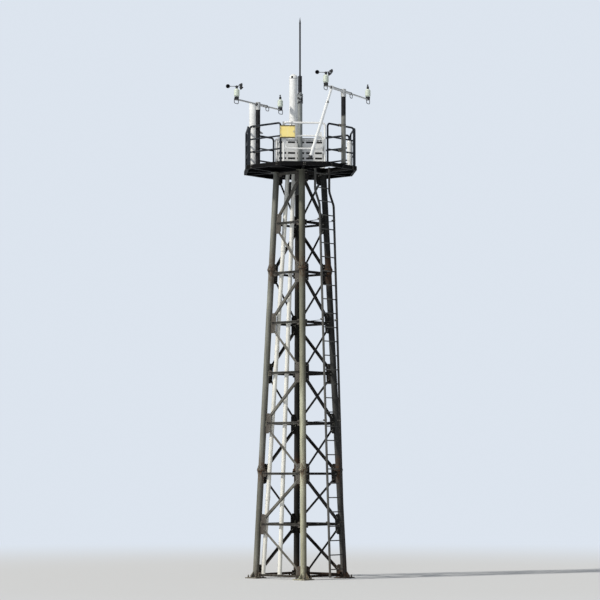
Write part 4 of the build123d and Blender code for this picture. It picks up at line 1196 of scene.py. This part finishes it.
def make_sensor_fittings():
    """Dark boots, bands and screws of the four sensor housings."""
    dark, bands = bmesh.new(), bmesh.new()
    boot = outline(socket_radius, (0, -60), (6, -58), (12, -40), (12, -12), (16, -6), (16, 10), (8.5, 14))
    shoulder = outline(0, (25.5, 183.5), (21, 186), (12.5, 187), (8.5, 187))
    for name in sensors:
        seat = sensor_place(name, 0)
        lathe(dark, seat, boot, 28)
        for height in sensor_band_rows:
            bead(bands, seat @ at(0, 0, height), 0.0580, 0.0022, 32)
        for k, height in product(range(6), sensor_screw_rows):
            out = around(60 * k, 1, 0)
            screw(bands, seat @ (out * 0.0575 + Vector((0, 0, height))), out, 0.0048)
        lathe(dark, seat, shoulder, 24)
    piece("sensor_boots", dark, black_plastic)
    piece("sensor_bands", bands, sensor_paint)


def make_lead_clips():
    """Small clips where the sensor leads enter the crossarms."""
    bm = bmesh.new()
    boot = outline(0, (12.5, -4), (12.5, 12), (9.5, 22), (7.2, 24))
    gland = outline(0, (11.5, -2), (11.5, 8), (7.2, 12))
    for mast in masts:
        arm = arm_frame(mast)
        vane_end = mast.sleeve[1]
        seats = [(vane_end + sleeve_lead_out, arm_radius), (vane_end - sleeve_lead_in, sleeve_radius)]
        for reach, way in zip(mast.reach, both):
            edge = arm @ at(way * (reach + socket_radius), 0, lead_rise)
            lathe(bm, edge @ turned(90 * way, "Y"), boot, 14)
            seats.append((way * (reach - lead_return), arm_radius))
        for reach, radius in seats:
            lathe(bm, arm @ at(reach, 0, -radius) @ turned(180, "X"), gland, 14)
    piece("lead_glands", bm, black_plastic)


def make_hub_cap(bm, place):
    """The cap, its screw and the lower collar of a rotor's hub."""
    top = place @ at(0, 0, hub_height)
    lathe(bm, place, outline(hub_radius, (0, 2), (1.5, 4), (1.5, 10), (0, 12)), 28)
    lathe(bm, top, outline(hub_radius, (0, -10), (1.5, -8), (1.5, 0), (-4, 6), (-16, 9)), 28)
    lathe(bm, top, outline(0, (9, 9), (9, 15), (7, 17), (0, 17)), 6)


def make_rotor_trim(side):
    """Rolled rims, arm sockets and the hub cap of a cup rotor."""
    bm = bmesh.new()
    place = sensor_place(side + "_cup_sensor", hub_rise)
    make_hub_cap(bm, place)
    socket = outline(0, (9.5, 0), (9.5, 16), (6.5, 20))
    collar = outline(0, (6.2, 0), (8.5, 2), (8.5, 14), (6.2, 16))
    for k in range(3):
        arm = place @ at(0, 0, cup_level) @ turned(cup_headings[side] + 120 * k)
        bead(bm, arm @ at(cup_orbit, cup_seat, 0) @ turned(-90, "X"), cup_radius - 0.0008, 0.0021, 30)
        lathe(bm, arm @ at(hub_radius - 0.003, 0, 0) @ turned(90, "Y"), socket, 16)
        lathe(bm, arm @ at(cup_orbit - cup_radius - 0.012, 0, 0) @ turned(90, "Y"), collar, 16)
    piece(side + "_cup_rotor_trim", bm, cup_plastic, body=side + "_cup_rotor")


def make_vane_trim(side):
    """The fin's rim, its rivets, the nose collar and the hub cap of a wind vane."""
    bm = bmesh.new()
    place = sensor_place(side + "_vane_sensor", hub_rise)
    make_hub_cap(bm, place)
    arm = place @ at(0, 0, cup_level) @ turned(vane_headings[side])
    start = vane_tail - vane_fin_length
    third = start + vane_fin_height / 3
    rim = ((start, 0), (third, vane_fin_height / 2), (vane_tail, vane_fin_height * 0.6),
           (vane_tail, -vane_fin_height * 0.4), (third, -vane_fin_height / 3), (start, 0))
    tube(bm, [arm @ Vector((x, 0, z)) for x, z in rim], 0.0022, 8)
    rivet = outline(0, (4, 0), (3, 2.5), (0, 3))
    for along, way in product(fin_rivets, both):
        spot = arm @ Vector((start + along, way * 0.0068, 0))
        lathe(bm, facing(spot, sideways(arm, way)), rivet, 8)
    collar = outline(0, (7.5, 10), (12, 8), (17.5, 4), (17.5, -4), (16.5, -5))
    lathe(bm, arm @ at(-vane_nose, 0, 0) @ turned(90, "Y"), collar, 20)
    piece(side + "_vane_trim", bm, cup_plastic, body=side + "_vane")


# Columns and lightning rod

def make_column_trim():
    """Bands, joints and cap rings of the white columns."""
    bm = bmesh.new()
    for column in columns:
        band = outline(column.radius, (0, -11), (2.5, -9), (2.5, 9), (0, 11))
        for height in column.bands:
            lathe(bm, at(*column.place, height), band, 40)
    cap = outline(left_column.radius, (0, -30), (5, -28), (5, 4), (-10, 10)) + [(0, 0.012)]
    lathe(bm, at(*left_column.place, left_column.top), cap, 40)
    piece("column_bands", bm, white_paint)


def make_column_details():
    """Dark inserts in the tall column's notches, its lens seal, and the left column's cap screws."""
    bm = bmesh.new()
    level = tall_column.top - notch_drop
    seat = tall_column.radius - notch_depth
    for turn in quarters:
        place = at(*tall_column.place, level) @ turned(turn + notch_turn)
        slab(bm, place @ at(seat + 0.0015, 0, 0), (0.003, 0.044, 0.052), 0.0006)
        for lift in notch_lifts:
            slab(bm, place @ at(seat + 0.008, 0, lift), (0.012, 0.044, 0.003), 0.0008)
    bead(bm, at(*tall_column.place, level - 0.034), tall_column.radius - 0.0004, 0.0022, 40)
    centre = Vector((*left_column.place, left_column.top - 0.014))
    for k in range(6):
        out = around(60 * k, left_column.radius + 0.004, 0)
        screw(bm, centre + out, out, 0.005)
    piece("column_notch_inserts", bm, black_plastic)


def rod_bands(bm, radius, *heights):
    """Narrow bands round the rod, its sleeve or its clamp."""
    for height in heights:
        lathe(bm, at(0, 0, height), outline(radius, (0, -9), (3, -7), (3, 7), (0, 9)), 32)


def make_rod_fittings():
    """Clamp bands, screws and collars of the lightning rod."""
    bm = bmesh.new()
    low, high = rod_pipe.top - rod_clamp_height, rod_pipe.top + rod_clamp_cover
    rod_bands(bm, rod_clamp_radius, low + 0.012, (low + high) / 2, high - 0.012)
    for height, turn in product((low + rod_bolt_inset, high - rod_bolt_inset), quarters):
        way = around(turn + rod_bolt_turn, 1, 0)
        bolt(bm, facing(way * (rod_clamp_radius - 0.001) + Vector((0, 0, height)), way), 0.008)
    rod_bands(bm, rod_sleeve_radius, rod_sleeve_top - 0.012, rod_sleeve_top - 0.20, high + 0.012)
    rod_bands(bm, rod_radius, rod_sleeve_top + 0.018, rod_top - rod_tip_height - 0.01)
    piece("rod_bands", bm, rod_metal)


# Stay between the front panel and the right crossarm

def make_stay_fittings():
    """Clamp bolts, the step ring and the foot boot of the mast stay."""
    dark, bright = bmesh.new(), bmesh.new()
    front = rail_apothem + low_rail_radius + stay_radius
    foot = around(45, stay_foot_along, -front, deck_top + stay_foot_rise)
    arm = arm_frame(right_mast)
    head = arm @ Vector((-stay_reach, 0, 0))
    run = (head - foot).normalized()
    boot = [(0, -0.006)] + outline(stay_radius, (1, -6), (5.5, 0), (6.5, 6), (6.5, 55), (3, 62), (0, 64))
    lathe(dark, facing(foot, run), boot, 28)
    ring = outline(stay_radius, (0, -30), (3.5, -28), (3.5, 0)) + outline(stay_thin_radius, (3, 10), (0, 16))
    lathe(bright, facing(foot + (head - foot) * (1 - stay_thin_share), run), ring, 28)
    for way, side in product(both, both):
        spot = arm @ Vector((way * stay_bolt_spread - stay_reach, side * (sleeve_radius + 0.0085), 0))
        bolt(bright, facing(spot, sideways(arm, side)), 0.0065)
    rail_z = deck_top + rail_step
    crossing = turned(-45) @ (foot + (head - foot) * ((rail_z - foot.z) / (head.z - foot.z)))
    for side, lift in product(both, (-0.014, 0.014)):
        spot = around(45, crossing.x + side * stay_grip_half, -rail_apothem - 0.02, rail_z + lift)
        bolt(bright, facing(spot, around(45, side, 0)), 0.0065)
    piece("stay_foot_boot", dark, black_plastic)
    piece("stay_hardware", bright, bright_steel)


# Camera, light and backdrop

backdrop_colour = (0.72, 0.78, 0.86)
floor_colour = (0.62, 0.63, 0.64)
floor_radius = 90
floor_drop = 0.002
fade_start = 6.0
fade_end = 26.0
sky_colour = (0.86, 0.92, 1.0)
sky_strength = 0.30
camera_place = Vector((31.05, -36.35, 2.2))
camera_pitch = 4.46
camera_lens = 134.0


def set_floor():
    """A pale floor that fades into the backdrop far out."""
    bm = bmesh.new()
    bmesh.ops.create_circle(bm, cap_ends=True, radius=floor_radius, segments=96)
    mesh = new_mesh("floor", bm)
    floor = new_object("floor", mesh)
    floor.location.z = -floor_drop
    ground = Finish("floor_pale", 0.9)
    glow = ground.node("Emission", {"Color": backdrop_colour})
    distance = ground.node("VectorMath", {0: ground.place}, operation="LENGTH").outputs["Value"]
    inputs = {"Value": distance, "From Min": fade_start, "From Max": fade_end}
    fade = ground.node("MapRange", inputs, interpolation_type="SMOOTHSTEP").outputs[0]
    blend = ground.node("MixShader", {0: fade, 1: ground.shader.outputs[0], 2: glow.outputs[0]})
    feed(ground.tree.nodes["Material Output"].inputs[0], blend.outputs[0])
    mesh.materials.append(ground.done(floor_colour))


def set_backdrop():
    """A soft sky light, and a plain colour where the camera sees past the floor."""
    world = bpy.data.worlds.new("studio")
    bpy.context.scene.world = world
    world.use_nodes = True
    tree = world.node_tree
    sky = tree.nodes["Background"]
    feed(sky.inputs["Color"], sky_colour)
    feed(sky.inputs["Strength"], sky_strength)
    seen = add_node(tree, "Background", {"Color": backdrop_colour})
    rays = add_node(tree, "LightPath", {}).outputs
    inputs = {0: rays["Is Camera Ray"], 1: rays["Is Transmission Ray"]}
    shown = add_node(tree, "Math", inputs, operation="MAXIMUM")
    blend = add_node(tree, "MixShader", {0: shown.outputs[0], 1: sky.outputs[0], 2: seen.outputs[0]})
    feed(tree.nodes["World Output"].inputs[0], blend.outputs[0])


def set_lamp(name, strength, angle, source, colour):
    """A distant lamp of some apparent size in degrees, shining from a direction."""
    light = bpy.data.lights.new(name, "SUN")
    light.energy = strength
    light.angle = radians(angle)
    light.color = colour
    lamp = new_object(name, light)
    lamp.rotation_mode = "QUATERNION"
    lamp.rotation_quaternion = Vector(source).to_track_quat("Z", "Y")


def set_camera():
    """The photograph's viewpoint, aimed at the middle of the tower."""
    data = bpy.data.cameras.new("camera")
    data.sensor_width = 36.0
    data.lens = camera_lens
    data.clip_end = 400.0
    camera = new_object("camera", data)
    camera.location = camera_place
    camera.rotation_mode = "QUATERNION"
    away = Vector((-camera_place.x, -camera_place.y, 0)).normalized()
    aim = Vector((away.x, away.y, tan(radians(camera_pitch))))
    camera.rotation_quaternion = (-aim).to_track_quat("Z", "Y")
    bpy.context.scene.camera = camera


make_anchor_bolts()
make_leg_joints()
make_gusset_welds()
make_cap_bolts()
for face_turn, face_hand, face_name in ((0, 1, "front_right"), (90, 1, "back_right"),
                                        (180, -1, "back_left"), (270, -1, "front_left")):
    make_lattice_bolts(face_turn, face_hand, face_name + "_bolts")
make_rim_bolts()
make_beam_welds()
# Rail welds in the near-black copy with painted shade, and on the front panel in the white copy with painted
# light.
make_rail_welds(range(0, 315, 45), "rail_welds", rail_paint, (rail_step, 2 * rail_step))
make_rail_welds((315,), "front_rail_welds_painted_light", front_rail_painted_light, ())
make_rung_welds()
make_ladder_clamps()
make_conduit_fittings()
make_junction_fittings()
make_cabinet_vents()
make_cabinet_seams()
make_cabinet_metal()
make_yellow_box_fittings()
make_solar_fittings()
make_terminal_fittings()
make_mast_clamps()
make_foot_bolts()
make_arm_fittings()
make_sensor_fittings()
make_lead_clips()
for mast_side in ("left", "right"):
    make_rotor_trim(mast_side)
for mast_side in ("left", "right"):
    make_vane_trim(mast_side)
make_column_trim()
make_column_details()
make_rod_fittings()
make_stay_fittings()

bpy.context.scene.view_settings.view_transform = "Standard"
set_floor()
set_backdrop()
set_lamp("key", 3.5, 3.0, (-0.34, -0.92, 0.88), (1.0, 0.96, 0.89))
set_lamp("fill", 0.45, 40.0, (0.62, -0.72, 0.35), (0.95, 0.97, 1.0))
set_camera()
